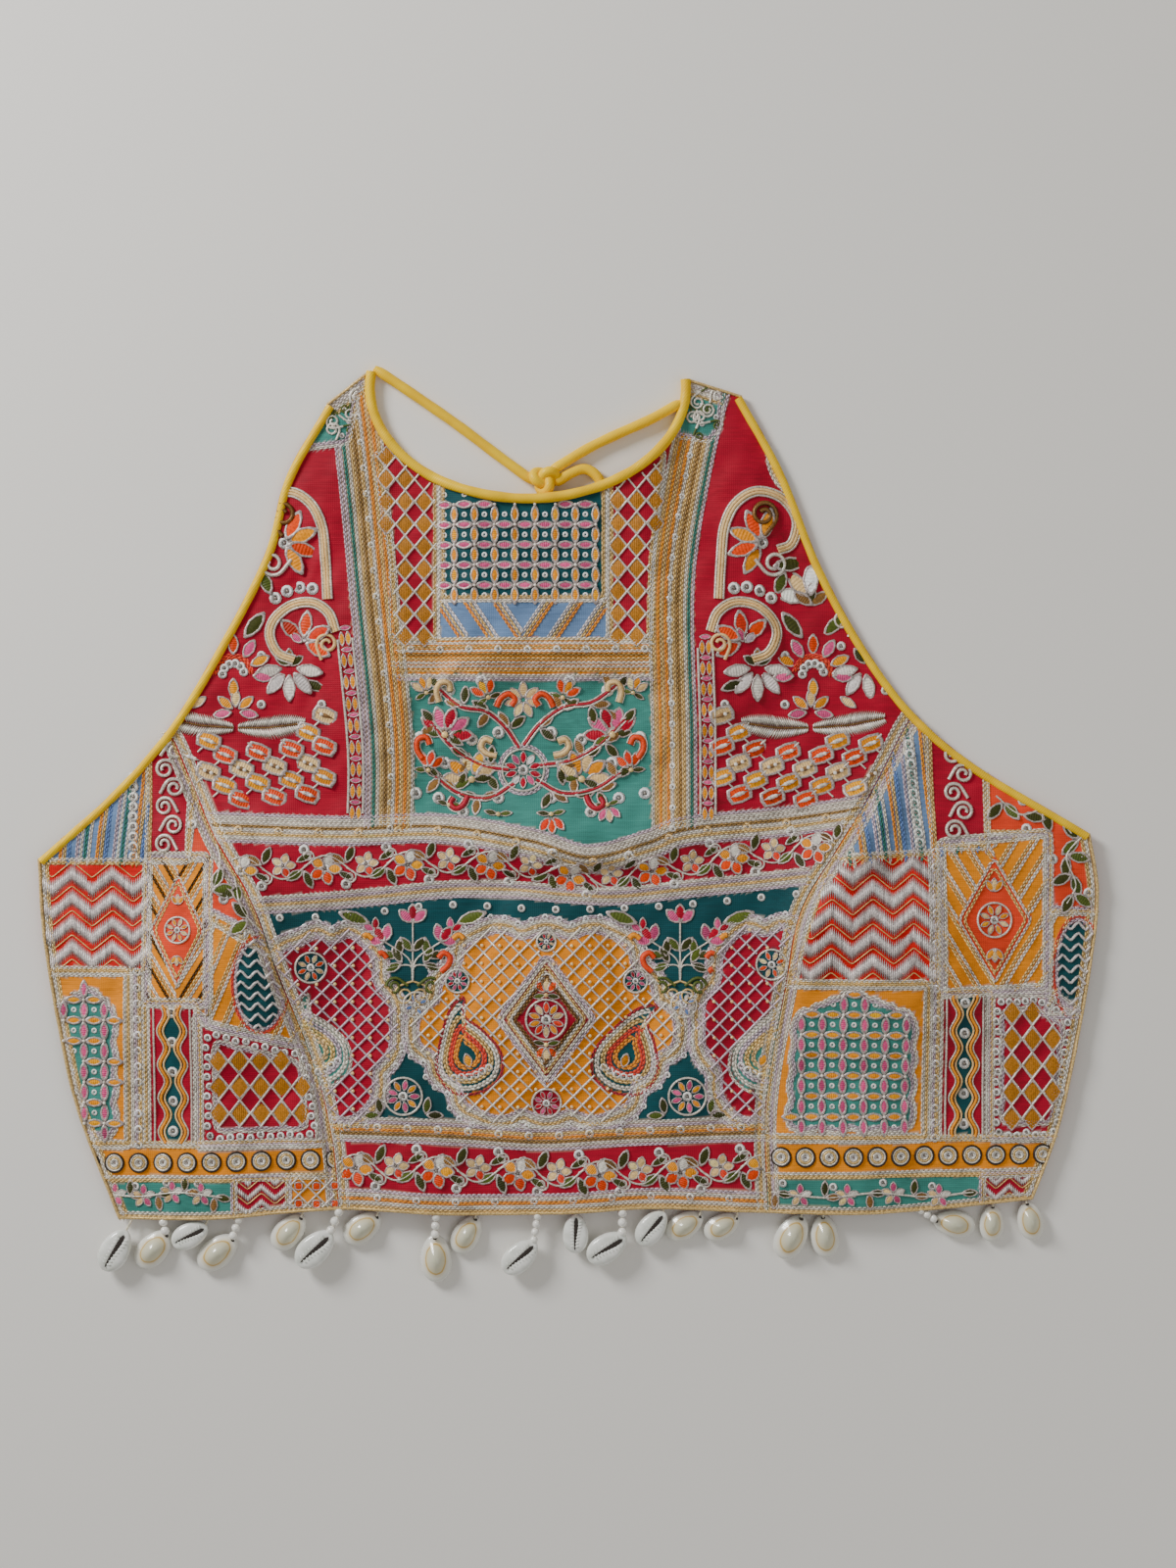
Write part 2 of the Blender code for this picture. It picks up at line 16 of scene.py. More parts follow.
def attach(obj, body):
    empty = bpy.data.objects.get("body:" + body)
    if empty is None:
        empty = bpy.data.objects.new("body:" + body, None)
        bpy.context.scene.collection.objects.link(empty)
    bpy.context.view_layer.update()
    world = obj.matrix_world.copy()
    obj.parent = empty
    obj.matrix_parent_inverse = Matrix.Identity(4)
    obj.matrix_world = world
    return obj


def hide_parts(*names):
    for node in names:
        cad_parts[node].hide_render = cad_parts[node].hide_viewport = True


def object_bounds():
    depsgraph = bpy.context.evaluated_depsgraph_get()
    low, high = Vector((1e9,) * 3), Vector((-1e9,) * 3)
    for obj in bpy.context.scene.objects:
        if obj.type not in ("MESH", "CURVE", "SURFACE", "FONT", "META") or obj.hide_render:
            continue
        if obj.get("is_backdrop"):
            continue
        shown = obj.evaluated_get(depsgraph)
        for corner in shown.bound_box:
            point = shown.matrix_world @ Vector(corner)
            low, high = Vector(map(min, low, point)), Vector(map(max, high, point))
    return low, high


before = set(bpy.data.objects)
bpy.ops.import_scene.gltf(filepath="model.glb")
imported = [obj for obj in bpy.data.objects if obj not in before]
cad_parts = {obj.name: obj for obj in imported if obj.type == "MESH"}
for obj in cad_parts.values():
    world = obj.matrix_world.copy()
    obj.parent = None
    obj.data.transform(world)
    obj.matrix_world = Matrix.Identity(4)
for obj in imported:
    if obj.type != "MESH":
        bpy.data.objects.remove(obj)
cad_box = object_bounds()
print("CAD box", [tuple(round(c, 4) for c in corner) for corner in cad_box])

# %% [markdown]
# ## Camera, light and floor
# The photograph looks straight down on the blouse from about an arm's length. A long lens keeps the
# hem and the straps at one scale. Two large soft lamps and an even sky leave the thread bright but
# still let each cord cast a short shadow.

# %% Camera over the blouse
MM = 0.001
VIEW_TALL = 672 * MM
VIEW_MIDDLE = (9.7 * MM, 105 * MM)
CAMERA_HEIGHT = 1.15
SENSOR = 36.0

camera_data = bpy.data.cameras.new("camera")
camera_data.sensor_fit = "VERTICAL"
camera_data.sensor_height = SENSOR
camera_data.lens = SENSOR * CAMERA_HEIGHT / VIEW_TALL
camera = bpy.data.objects.new("camera", camera_data)
camera.location = (*VIEW_MIDDLE, CAMERA_HEIGHT)
bpy.context.scene.collection.objects.link(camera)
bpy.context.scene.camera = camera
print("lens", round(camera_data.lens, 1), "mm")

# %% Helpers for colour and nodes


def linear(hex_colour):
    """An sRGB hex colour as linear RGBA."""
    channels = [int(hex_colour[i:i + 2], 16) / 255 for i in (1, 3, 5)]
    return (*[c / 12.92 if c <= 0.04045 else ((c + 0.055) / 1.055) ** 2.4 for c in channels], 1.0)


def add(tree, kind, values=None, **settings):
    """A node with its settings. A value that is another node's socket is linked, any other is set."""
    made = tree.nodes.new(kind)
    for name, value in settings.items():
        setattr(made, name, value)
    for name, value in (values or {}).items():
        if isinstance(value, bpy.types.NodeSocket):
            tree.links.new(value, made.inputs[name])
        else:
            made.inputs[name].default_value = value
    return made


def new_material(name, roughness, **values):
    """A Principled material and its node tree."""
    material = bpy.data.materials.new(name)
    material.use_nodes = True
    tree = material.node_tree
    shader = tree.nodes["Principled BSDF"]
    shader.inputs["Roughness"].default_value = roughness
    for key, value in values.items():
        shader.inputs[key.replace("_", " ")].default_value = value
    return material, tree, shader


def link_object(name, data, material=None):
    """An object in the scene, with its material."""
    made = bpy.data.objects.new(name, data)
    if material:
        data.materials.append(material)
    bpy.context.scene.collection.objects.link(made)
    return made


def mesh_from(bm, name):
    """The bmesh as a mesh. The bmesh is freed."""
    mesh = bpy.data.meshes.new(name)
    bm.to_mesh(mesh)
    bm.free()
    return mesh


def ready(piece):
    """Every piece of the blouse rides on its one body."""
    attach(piece, "root")
    return piece


# %% Lamps, sky and floor
LAMP_TARGET, SKY_STRENGTH = Vector((0, 0.08, 0)), 0.37
FLOOR_HALF, FLOOR_DROP = 3.0, 0.3 * MM
LAMPS = [
    # name, place in metres, size in metres, watts
    ("key_lamp", (-1.05, 0.95, 0.72), 0.45, 23.5),
    ("fill_lamp", (0.9, -0.3, 1.1), 1.2, 3.6),
]
for name, place, size, watts in LAMPS:
    lamp = bpy.data.lights.new(name, "AREA")
    lamp.shape, lamp.size, lamp.energy = "SQUARE", size, watts
    holder = bpy.data.objects.new(name, lamp)
    holder.location = place
    holder.rotation_euler = (LAMP_TARGET - Vector(place)).to_track_quat("-Z", "Y").to_euler()
    bpy.context.scene.collection.objects.link(holder)

world = bpy.data.worlds.new("sky")
world.use_nodes = True
world.node_tree.nodes["Background"].inputs["Color"].default_value = linear("#F4F2EE")
world.node_tree.nodes["Background"].inputs["Strength"].default_value = SKY_STRENGTH
bpy.context.scene.world = world

bm = bmesh.new()
bmesh.ops.create_grid(bm, x_segments=1, y_segments=1, size=FLOOR_HALF)
bmesh.ops.translate(bm, vec=(0, 0, -FLOOR_DROP), verts=bm.verts)
floor_paint, _, floor_shader = new_material("matt_painted_board", 0.8)
floor_shader.inputs["Base Color"].default_value = linear("#F3F0EA")
link_object("floor", mesh_from(bm, "floor"), floor_paint)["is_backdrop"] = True

# %% [markdown]
# ## The cut
# The outline and the fold table are the model's own, in millimetres, so that fine cloth lies exactly
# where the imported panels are. Smooth lines run through a few driving points, and each panel is a
# patch stretched between its four edges.

# %% Driving points of the cut
NECK_CENTRE = np.array([-16.0, 274.7])
NECK_HALF_WIDTH, NECK_DEPTH = 67.6, 48.1
NECK_RISE_LEFT, NECK_RISE_RIGHT = 0.14, 0.07
NECK_CLOTH = 1.2
ARMHOLE_LEFT = [
    (-102.1, 267.5), (-119.7, 236.0), (-128.5, 203.7), (-147.8, 165.1),
    (-170.9, 127.3), (-197.4, 97.9), (-225.1, 73.1),
]
ARMHOLE_RIGHT = [
    (75.6, 270.9), (93.7, 237.7), (109.2, 198.7), (128.1, 163.8),
    (149.5, 135.2), (176.4, 112.6), (223.9, 84.0),
]
SIDE_LEFT = [(-190.7, -80.6), (-207.9, -35.7), (-215.9, -2.1), (-223.0, 41.2), (-225.1, 73.1)]
SIDE_RIGHT = [(199.5, -72.2), (210.0, -44.1), (217.1, -13.9), (224.3, 26.5), (227.6, 58.0), (223.9, 84.0)]
HEM = [
    (-190.7, -80.6), (-147.4, -80.2), (-96.6, -76.4), (-47.0, -78.5), (-4.6, -78.1),
    (38.2, -76.0), (86.5, -77.7), (137.8, -77.7), (199.5, -72.2),
]
PRINCESS_LEFT = [
    (-96.6, -76.4), (-99.5, -46.2), (-106.7, -16.8), (-120.5, 21.0),
    (-132.7, 55.4), (-151.6, 87.4), (-168.4, 125.8),
]
PRINCESS_RIGHT = [
    (86.5, -77.7), (85.7, -31.5), (93.7, 16.8), (100.0, 50.4),
    (114.7, 76.0), (130.0, 100.0), (146.6, 131.8),
]
BAND_TOP = [(-224.0, 71.6), (-120.0, 66.0), (0.0, 63.0), (120.0, 70.0), (222.8, 82.5)]

# %% Lines through those points


def smooth_line(points, steps=12):
    """A Catmull-Rom line through the points."""
    p = np.array(points, float)
    p = np.vstack([2 * p[0] - p[1], p, 2 * p[-1] - p[-2]])
    t = np.linspace(0, 1, steps, endpoint=False)[:, None]
    parts = [
        0.5 * (2 * b + (c - a) * t + (2 * a - 5 * b + 4 * c - d) * t ** 2 + (3 * b - a - 3 * c + d) * t ** 3)
        for a, b, c, d in zip(p, p[1:], p[2:], p[3:])
    ]
    return np.vstack([*parts, p[-2:-1]])


def closed_line(points, steps=8):
    """A smooth line round the points and back to the first."""
    p = [tuple(q) for q in points]
    line = smooth_line([p[-1], *p, p[0], p[1]], steps)
    return line[steps:-steps]


def reach_of(line):
    """The length of the line up to each of its points."""
    return np.concatenate([[0.0], np.cumsum(np.linalg.norm(np.diff(line, axis=0), axis=1))])


def at_share(line, shares):
    """Points at shares of a line's length."""
    reach = reach_of(line)
    want = np.asarray(shares) * reach[-1]
    return np.column_stack([np.interp(want, reach, line[:, k]) for k in range(line.shape[1])])


def dense(line, step):
    """The line with points a step apart."""
    line = np.asarray(line, float)
    count = max(2, int(round(reach_of(line)[-1] / step)) + 1)
    return at_share(line, np.linspace(0, 1, count))


def headings(line):
    """The direction of the line at each of its points, in radians."""
    way = np.gradient(line, axis=0)
    return np.arctan2(way[:, 1], way[:, 0])


def compass(turn):
    """Unit vectors that point along each turn."""
    return np.column_stack([np.cos(turn), np.sin(turn)])


def leftwards(turn):
    """Unit vectors square to each turn, on its left."""
    return np.column_stack([-np.sin(turn), np.cos(turn)])


def beside(line, distance):
    """The line moved sideways, to its left for a positive distance."""
    return line + leftwards(headings(line)) * distance


def neckline(extra, steps=64):
    """The neck edge, extra millimetres outside the piping's middle."""
    angle = np.linspace(-NECK_RISE_LEFT, math.pi + NECK_RISE_RIGHT, steps + 1)
    return NECK_CENTRE - np.column_stack([
        (NECK_HALF_WIDTH + extra) * np.cos(angle), (NECK_DEPTH + extra) * np.sin(angle),
    ])


def cut_at(line, target):
    """The line's two parts on either side of its point nearest to a target."""
    nearest = int(np.argmin(np.linalg.norm(line - np.array(target), axis=1)))
    return line[:nearest + 1], line[nearest:]


armhole_left, armhole_right = smooth_line(ARMHOLE_LEFT), smooth_line(ARMHOLE_RIGHT)
side_left, side_right = smooth_line(SIDE_LEFT), smooth_line(SIDE_RIGHT)
hem, band_top = smooth_line(HEM), smooth_line(BAND_TOP)
princess_left, princess_right = smooth_line(PRINCESS_LEFT), smooth_line(PRINCESS_RIGHT)
print("hem", round(reach_of(hem)[-1]), "mm, neckline", round(reach_of(neckline(0))[-1]), "mm")

# %% [markdown]
# ## The folds
# Cloth that lies on a table keeps the swell of its cups, a roll across the waist and soft ripples at
# the hem. Each row of the table is one soft hill. The embroidered cloth also carries smaller creases,
# and it puckers between its heavy borders, so those are added here, uneven in length and depth.

# %% Height of the cloth
BACK_WALL, SEAM_GAP = 1.6, 0.3
OVER_BACK, OVER_SIDE_SEAM, SIDE_FALL = 3.6, BACK_WALL + SEAM_GAP, 26
BAND_OVERHANG, BAND_FALL = 8, 34
BOW_CENTRE, BOW_HALF, BOW_LIFT, BOW_FALL = (-3, 204), (36, 42), 5.2, 20
# The outer face above the inner one, and the thickness of the fine cloth
CLOTH_TOP, CLOTH_WALL = 1.8, 1.2
FURROW_DEPTH, FURROW_WIDTH = 1.9, 3.2
ROLL_HEIGHT, ROLL_PLACE, ROLL_WIDTH = 1.3, 9, 6.5
FOLDS = [
    # x, y, turn in degrees, half length, half width, height
    (-140, 30, 70, 78, 56, 11.0), (134, 34, 110, 78, 54, 12.0),
    (-146, 66, -64, 66, 22, 4.5), (118, 66, 66, 66, 22, 5.0),
    (-6, 84, 0, 78, 24, 6.5), (62, 96, 12, 60, 24, 3.5),
    (-10, 14, 84, 62, 44, 6.5), (-74, -2, 100, 52, 26, 3.5), (52, -12, 76, 56, 24, 3.0),
    (-62, -66, 90, 42, 30, 3.0), (6, -70, 90, 36, 26, 2.4), (122, -58, 84, 44, 34, 4.0),
    (-150, -58, 96, 42, 30, 3.0), (-84, 150, 96, 88, 36, 4.5), (60, 156, 82, 92, 38, 5.5),
    (-40, 140, 60, 50, 14, 2.2), (14, 128, 118, 48, 13, 2.4),
    (-104, 222, 66, 46, 18, 2.0), (78, 226, 112, 46, 18, 2.4),
]
CREASES = [
    # x, y, turn in degrees, half length, half width, height, below zero for a trough
    (4, 64, 3, 66, 6, -2.4), (14, 74, -6, 44, 5, 1.6), (-88, 74, 10, 34, 5, -1.0),
    (-36, 30, 72, 38, 5, -1.3), (22, 26, 104, 40, 6, -1.5), (-12, -18, 88, 30, 5, -1.1),
    (58, 10, 70, 34, 5, -1.4), (-86, 22, 112, 36, 5, -1.2), (78, -20, 95, 30, 4, 1.0),
    (-108, -30, 100, 34, 5, 1.3), (-150, 40, 62, 40, 7, -1.4), (-186, 10, 84, 44, 8, 1.2),
    (-172, -40, 78, 28, 6, -1.2), (-200, 44, 96, 26, 6, -0.9), (150, 30, 118, 42, 7, -1.4),
    (188, 8, 96, 44, 8, 1.3), (172, -40, 102, 28, 6, -1.2), (204, 40, 84, 24, 6, -0.9),
    (104, 44, 64, 34, 6, 1.5), (-140, 92, -62, 30, 5, 1.2), (-62, 118, 96, 34, 6, -1.1),
    (44, 112, 80, 36, 6, -1.2), (-108, 160, 72, 36, 6, 1.0), (86, 170, 108, 38, 6, 1.1),
    (-18, 160, 4, 40, 5, 0.8), (-112, 196, 66, 30, 5, -0.9), (96, 206, 112, 28, 5, -0.9),
]
PUCKERS = [
    # waves a millimetre along x and y, shift, height
    (0.052, 0.021, 0.4, 0.16), (-0.034, 0.061, 1.9, 0.15),
    (0.083, -0.047, 3.1, 0.10), (0.029, 0.097, 5.0, 0.09),
]


def step_up(low, high, value):
    """A smooth step from 0 at low to 1 at high."""
    share = np.clip((value - low) / (high - low), 0, 1)
    return share * share * (3 - 2 * share)


def hills(rows, x, y):
    """The soft hills of a table, added up."""
    height = np.zeros_like(x)
    for fx, fy, turn, half_length, half_width, top in rows:
        angle = math.radians(turn)
        forward = ((x - fx) * math.cos(angle) + (y - fy) * math.sin(angle)) / half_length
        sideways = ((y - fy) * math.cos(angle) - (x - fx) * math.sin(angle)) / half_width
        height += top * np.clip(1 - forward ** 2 - sideways ** 2, 0, None) ** 2
    return height


def underside(x, y):
    """Height of the front's inner face above the table, in millimetres."""
    from_side = np.minimum(x - np.interp(y, *side_left.T[::-1]), np.interp(y, *side_right.T[::-1]) - x)
    over_band = 1 - step_up(BAND_OVERHANG, BAND_FALL, y - np.interp(x, *band_top.T))
    inwards = np.where(over_band > 0, step_up(0, SIDE_FALL, from_side), 1.0)
    rest = over_band * (OVER_SIDE_SEAM + (OVER_BACK - OVER_SIDE_SEAM) * inwards)
    away = np.maximum(abs(x - BOW_CENTRE[0]) - BOW_HALF[0], abs(y - BOW_CENTRE[1]) - BOW_HALF[1])
    return rest + hills(FOLDS, x, y) * inwards + BOW_LIFT * (1 - step_up(0, BOW_FALL, away))


def seam_furrow(x, y):
    """The stitched seam pulls the cloth down in a narrow furrow, with a soft roll on its outer side."""
    depth = np.zeros_like(x)
    for line, side in ((princess_left, -1), (princess_right, 1)):
        across = (x - np.interp(y, *line.T[::-1])) * 0.9 * side
        depth += FURROW_DEPTH * np.exp(-(across / FURROW_WIDTH) ** 2)
        depth -= ROLL_HEIGHT * np.exp(-((across - ROLL_PLACE) / ROLL_WIDTH) ** 2)
    return depth * step_up(-90, -60, y)


def skin(x, y):
    """Height of the front's outer face, with its creases and puckers."""
    x, y = np.asarray(x, float), np.asarray(y, float)
    fine = hills(CREASES, x, y) - seam_furrow(x, y)
    for along_x, along_y, shift, height in PUCKERS:
        fine += height * np.sin(2 * math.pi * (along_x * x + along_y * y) + shift)
    # A crease sinks at most half-way into a fold
    return underside(x, y) + CLOTH_TOP + np.maximum(fine, -0.45 - 0.5 * hills(FOLDS, x, y))


grid_x, grid_y = np.meshgrid(np.linspace(-200, 200, 81), np.linspace(-70, 220, 59))
print("highest cloth", round(float(skin(grid_x, grid_y).max()), 1), "mm")

# %% Outlines of the three panels


def edge(shares, *stretches):
    """Points of an edge made of several lines. Each stretch is a line and the share where it ends."""
    points, start = np.zeros((len(shares), 2)), 0.0
    for line, end in stretches:
        here = (shares >= start - 1e-9) & (shares <= end + 1e-9)
        points[here] = at_share(np.asarray(line), (shares[here] - start) / (end - start))
        start = end
    return points


upper_left, lower_left = cut_at(armhole_left, PRINCESS_LEFT[-1])
upper_right, lower_right = cut_at(armhole_right, PRINCESS_RIGHT[-1])
hem_left, hem_rest = cut_at(hem, PRINCESS_LEFT[0])
hem_centre, hem_right = cut_at(hem_rest, PRINCESS_RIGHT[0])
seam_left = np.vstack([princess_left[:-1], upper_left[-1:]])
seam_right = np.vstack([princess_right[:-1], upper_right[-1:]])
neck = neckline(NECK_CLOTH)
# The share of its edge that a strap's end takes, and the seam's or the side's below the armhole
STRAP, SEAM_SHARE, SIDE_SHARE = 3 / 32, 0.6, 0.55
STRAP_TOPS = [np.vstack([upper_left[0], neck[0]]), np.vstack([upper_right[0], neck[-1]])]

PANELS = {
    # bottom, top, left and right edge, each as stretches of line
    "centre": (
        [(hem_centre, 1.0)],
        [(STRAP_TOPS[0], STRAP), (neck, 1 - STRAP), (STRAP_TOPS[1][::-1], 1.0)],
        [(seam_left, SEAM_SHARE), (upper_left[::-1], 1.0)],
        [(seam_right, SEAM_SHARE), (upper_right[::-1], 1.0)],
    ),
    "left": (
        [(hem_left, 1.0)], [(np.vstack([lower_left[1], seam_left[-1]]), 1.0)],
        [(side_left, SIDE_SHARE), (lower_left[:0:-1], 1.0)], [(seam_left, 1.0)],
    ),
    "right": (
        [(hem_right, 1.0)], [(np.vstack([seam_right[-1], lower_right[1]]), 1.0)],
        [(seam_right, 1.0)], [(side_right, SIDE_SHARE), (lower_right[:0:-1], 1.0)],
    ),
}


def panel_outline(name, count=120):
    """The four edges of a panel as one outline, counter-clockwise."""
    shares = np.linspace(0, 1, count)
    bottom, top, left, right = (edge(shares, *side) for side in PANELS[name])
    return np.vstack([bottom[:-1], right[:-1], top[::-1][:-1], left[::-1][:-1]])


def area_of(outline):
    """The area inside an outline."""
    x, y = outline.T
    return 0.5 * abs(np.dot(x, np.roll(y, -1)) - np.dot(y, np.roll(x, -1)))


OUTLINE = {name: panel_outline(name) for name in PANELS}
print({name: round(area_of(line) / 100) for name, line in OUTLINE.items()}, "square centimetres")

# %% [markdown]
# ## Working the embroidery
# Three things make all of it. A couched cord is a metal thread laid on the cloth, so it is a curve
# with a round section. A chain row is many small links, and a petal, a sequin or a bead is one small
# form, so each of those is a stamp: a template that Geometry Nodes sets on every point of a cloud
# and then makes real. Everything is planned flat in millimetres and then lifted onto the cloth.

# %% Clip lines to an area


def inside(points, outline):
    """Which points lie inside an outline, by counting the edges that a ray from each one crosses."""
    x, y = points[:, :1], points[:, 1:2]
    ax, ay = outline.T
    bx, by = np.roll(ax, -1), np.roll(ay, -1)
    rise = np.where(by == ay, 1e-12, by - ay)
    crosses = ((ay > y) != (by > y)) & (x < ax + (y - ay) * (bx - ax) / rise)
    return crosses.sum(axis=1) % 2 == 1


def outside(outline):
    """An area that is everywhere but inside an outline."""
    return ("outside", np.asarray(outline, float))


def within(points, area):
    """Which points lie in every part of the area."""
    keep = np.ones(len(points), bool)
    for part in area:
        keep &= ~inside(points, part[1]) if isinstance(part, tuple) else inside(points, part)
    return keep


def clip(line, area):
    """The stretches of a line that lie inside every outline of the area."""
    keep = within(line, area).astype(int)
    ends = np.flatnonzero(np.diff(np.concatenate([[0], keep, [0]])))
    return [line[a:b] for a, b in zip(ends[::2], ends[1::2]) if b - a > 2]


# %% Keep what is laid and pressed
TINTS = {
    "silver": "#F0E8DA", "pewter": "#7C7268", "lilac": "#DCC8D2", "gold": "#F0CC86", "old_gold": "#8A6230",
    "brass": "#B48E50", "bronze": "#5A3D18", "umber": "#2E2014", "yellow": "#FF9E00", "orange": "#F24600",
    "coral": "#EE3A16", "pink": "#DC5486", "crimson": "#B80028", "cream": "#F4CC8C", "olive": "#3E4010",
    "green": "#525F1A", "teal": "#1E7C6C", "blue": "#6488C4", "white": "#F8F6F0", "ochre": "#B8761A",
    "frost": "#EAE0DC",
}
TINT = {name: linear(value) for name, value in TINTS.items()}
METALS = {"silver", "pewter", "lilac", "gold", "old_gold", "brass", "bronze", "frost"}
# Cords by thread, stamps by name, and the painted shadow of the threads under each plait
laid, pressed, painted_plait_shade = {}, {}, []
LONG_FORM, THREAD_SHADOW = 2.5, 0.66
chance = np.random.default_rng(7)


def couch(thread, line, width=1.0, area=(), step=1.5):
    """Lays a cord along a line, wherever the line is inside the area."""
    for run in clip(dense(line, step), area):
        laid.setdefault(thread, []).append((run, width))


def press(stamp, points, turns, sizes, tint, area=(), shade=0.14, lift=0.0):
    """Sets a stamp on each point, turned and sized in millimetres, in a tint that varies a little."""
    points = np.atleast_2d(np.asarray(points, float))
    turns = np.broadcast_to(np.asarray(turns, float), len(points))
    sizes = np.broadcast_to(np.asarray(sizes, float), (len(points), 3))
    keep = within(points, area)
    if sizes[:, 0].max(initial=0) > LONG_FORM and len(area):
        # A long form is left out where any of its tips would pass the edge of the panel
        for axis, quarter in ((0, 0.0), (1, math.pi / 2)):
            tip = compass(turns + quarter) * sizes[:, axis:axis + 1] * 0.9
            keep &= within(points + tip, area[-1:]) & within(points - tip, area[-1:])
    uneven = 1 + shade * chance.standard_normal((len(points), 1))
    tone = np.array(TINT[tint][:3]) * uneven * chance.normal(1, 0.06)
    rows = np.column_stack([points, turns, sizes, np.clip(tone, 0, 1), np.full(len(points), lift)])
    pressed.setdefault(stamp, []).append(rows[keep])


def chain(line, tints, area=(), width=1.65, pitch=2.1, lift=0.0):
    """Chain stitch in rows side by side, the first tint on the line's left."""
    line = dense(line, 3.0)
    half = len(tints) * width / 2
    for row, tint in enumerate(tints):
        way = beside(line, half - (row + 0.5) * width)
        count = max(2, int(reach_of(way)[-1] / pitch))
        path = at_share(way, (np.arange(count) + chance.random()) / count)
        stamp = "link" if tint in METALS else "silk_link"
        turn = headings(path) + math.pi * (row % 2)
        press(stamp, path, turn, (pitch * 0.84, width * 0.49, 0.62), tint, area, shade=0.08, lift=lift)
    if len(tints) > 1:
        # Between packed threads the eye sees their shadow, not the cloth, so the cloth there is painted in
        # shadow: the threads' mean colour, darkened
        shadow = np.mean([TINT[tint] for tint in tints], axis=0) * (*[THREAD_SHADOW] * 3, 1)
        strip = np.vstack([beside(line, half - 0.4), beside(line, 0.4 - half)[::-1]])
        painted_plait_shade.append((strip, shadow, area))


def around(outline):
    """A closed outline with its first point repeated."""
    return np.vstack([outline, outline[:1]])


# %% [markdown]
# ## Ties and knot
# The ties are bias strips of yellow satin sewn into tubes and turned. They are the only free cords on
# the blouse, so each one is a curve with a round section and keeps its real length. They meet in a
# small hard knot, and a closed curve that crosses itself three times is just such a knot.

# %% Yellow satin
# Blender's wave texture repeats at this length when its scale is 1
WAVE_LENGTH = 0.31416


def set_stops(ramp, stops):
    """Gives a colour ramp its stops, each a position and a linear colour."""
    for k, (position, colour) in enumerate(stops):
        stop = ramp.elements[k] if k < 2 else ramp.elements.new(position)
        stop.position, stop.color = position, colour


def satin(name, colour, grain_mm):
    """Satin cut on the bias: its fine twill lies at a slant and its sheen is soft."""
    material, tree, shader = new_material(name, 0.42, Specular_IOR_Level=0.25)
    place = add(tree, "ShaderNodeTexCoord").outputs["Object"]
    slanted = add(tree, "ShaderNodeMapping", {"Vector": place, "Rotation": (0, 0, math.radians(38))})
    twill = add(tree, "ShaderNodeTexWave", {
        "Vector": slanted.outputs[0], "Scale": WAVE_LENGTH / (grain_mm * MM),
        "Distortion": 1.2, "Detail": 2.0,
    })
    mottle = add(tree, "ShaderNodeTexNoise", {"Vector": place, "Scale": 1 / (9 * MM), "Detail": 4.0})
    shade = add(tree, "ShaderNodeValToRGB", {"Fac": mottle.outputs["Fac"]})
    red, green, blue, _ = linear(colour)
    deeper = (red * 0.9, green * 0.82, blue * 0.6, 1)
    set_stops(shade.color_ramp, [(0.3, deeper), (0.7, (red, green, blue, 1))])
    bump = add(tree, "ShaderNodeBump", {
        "Height": twill.outputs["Fac"], "Strength": 0.35, "Distance": 0.15 * MM,
    })
    tree.links.new(shade.outputs["Color"], shader.inputs["Base Color"])
    tree.links.new(bump.outputs["Normal"], shader.inputs["Normal"])
    return material


# The twill is drawn at 0.9 mm, about three times as coarse as satin, so that it shows in the picture
yellow_satin = satin("yellow_bias_satin", "#FFD200", 0.9)

# %% Curves through space


def cord_curve(name, runs, radii, material, roundness=0, closed=False):
    """One curve object with a round section. Runs are lines in millimetres, radii one for each point."""
    curve = bpy.data.curves.new(name, "CURVE")
    curve.dimensions = "3D"
    curve.bevel_depth = MM
    curve.bevel_resolution = roundness
    curve.use_fill_caps = True
    for run, radius in zip(runs, radii):
        spline = curve.splines.new("POLY")
        spline.points.add(len(run) - 1)
        spline.use_cyclic_u = closed
        spline.use_smooth = True
        spline.points.foreach_set("co", np.column_stack([run * MM, np.ones(len(run))]).ravel())
        spline.points.foreach_set("radius", np.broadcast_to(radius, len(run)).astype(float))
    return link_object(name, curve, material)


TIE_RADIUS = 2.2
TIES = {
    "tie_left": [
        (-81.6, 282.8, 2.3), (-62.0, 269.6, 2.3), (-45.4, 258.0, 2.3), (-30.0, 246.4, 2.3),
        (-13.0, 233.8, 3.0),
    ],
    "tie_right": [
        (49.6, 268.2, 2.3), (36.3, 260.9, 2.3), (22.9, 254.9, 2.3), (9.5, 248.4, 2.3), (-6.5, 238.6, 3.0),
    ],
    "tie_loop": [
        (-4.6, 233.6, 3.2), (3.6, 238.4, 2.6), (9.0, 239.6, 2.3), (14.0, 236.0, 2.3), (16.4, 228.5, 2.3),
        (14.4, 219.0, 2.3), (7.4, 214.5, 2.3), (0.6, 218.6, 2.3), (-3.0, 225.4, 2.4),
    ],
    "tie_tail_left": [
        (-13.6, 228.6, 2.6), (-17.5, 221.0, 2.3), (-19.5, 208.0, 2.3), (-17.0, 194.0, 2.3),
        (-20.0, 180.0, 2.3),
    ],
    "tie_tail_right": [
        (-8.6, 225.4, 2.6), (-8.5, 216.0, 2.3), (-5.0, 204.0, 2.3), (0.5, 192.0, 2.3), (2.0, 178.0, 2.3),
    ],
}
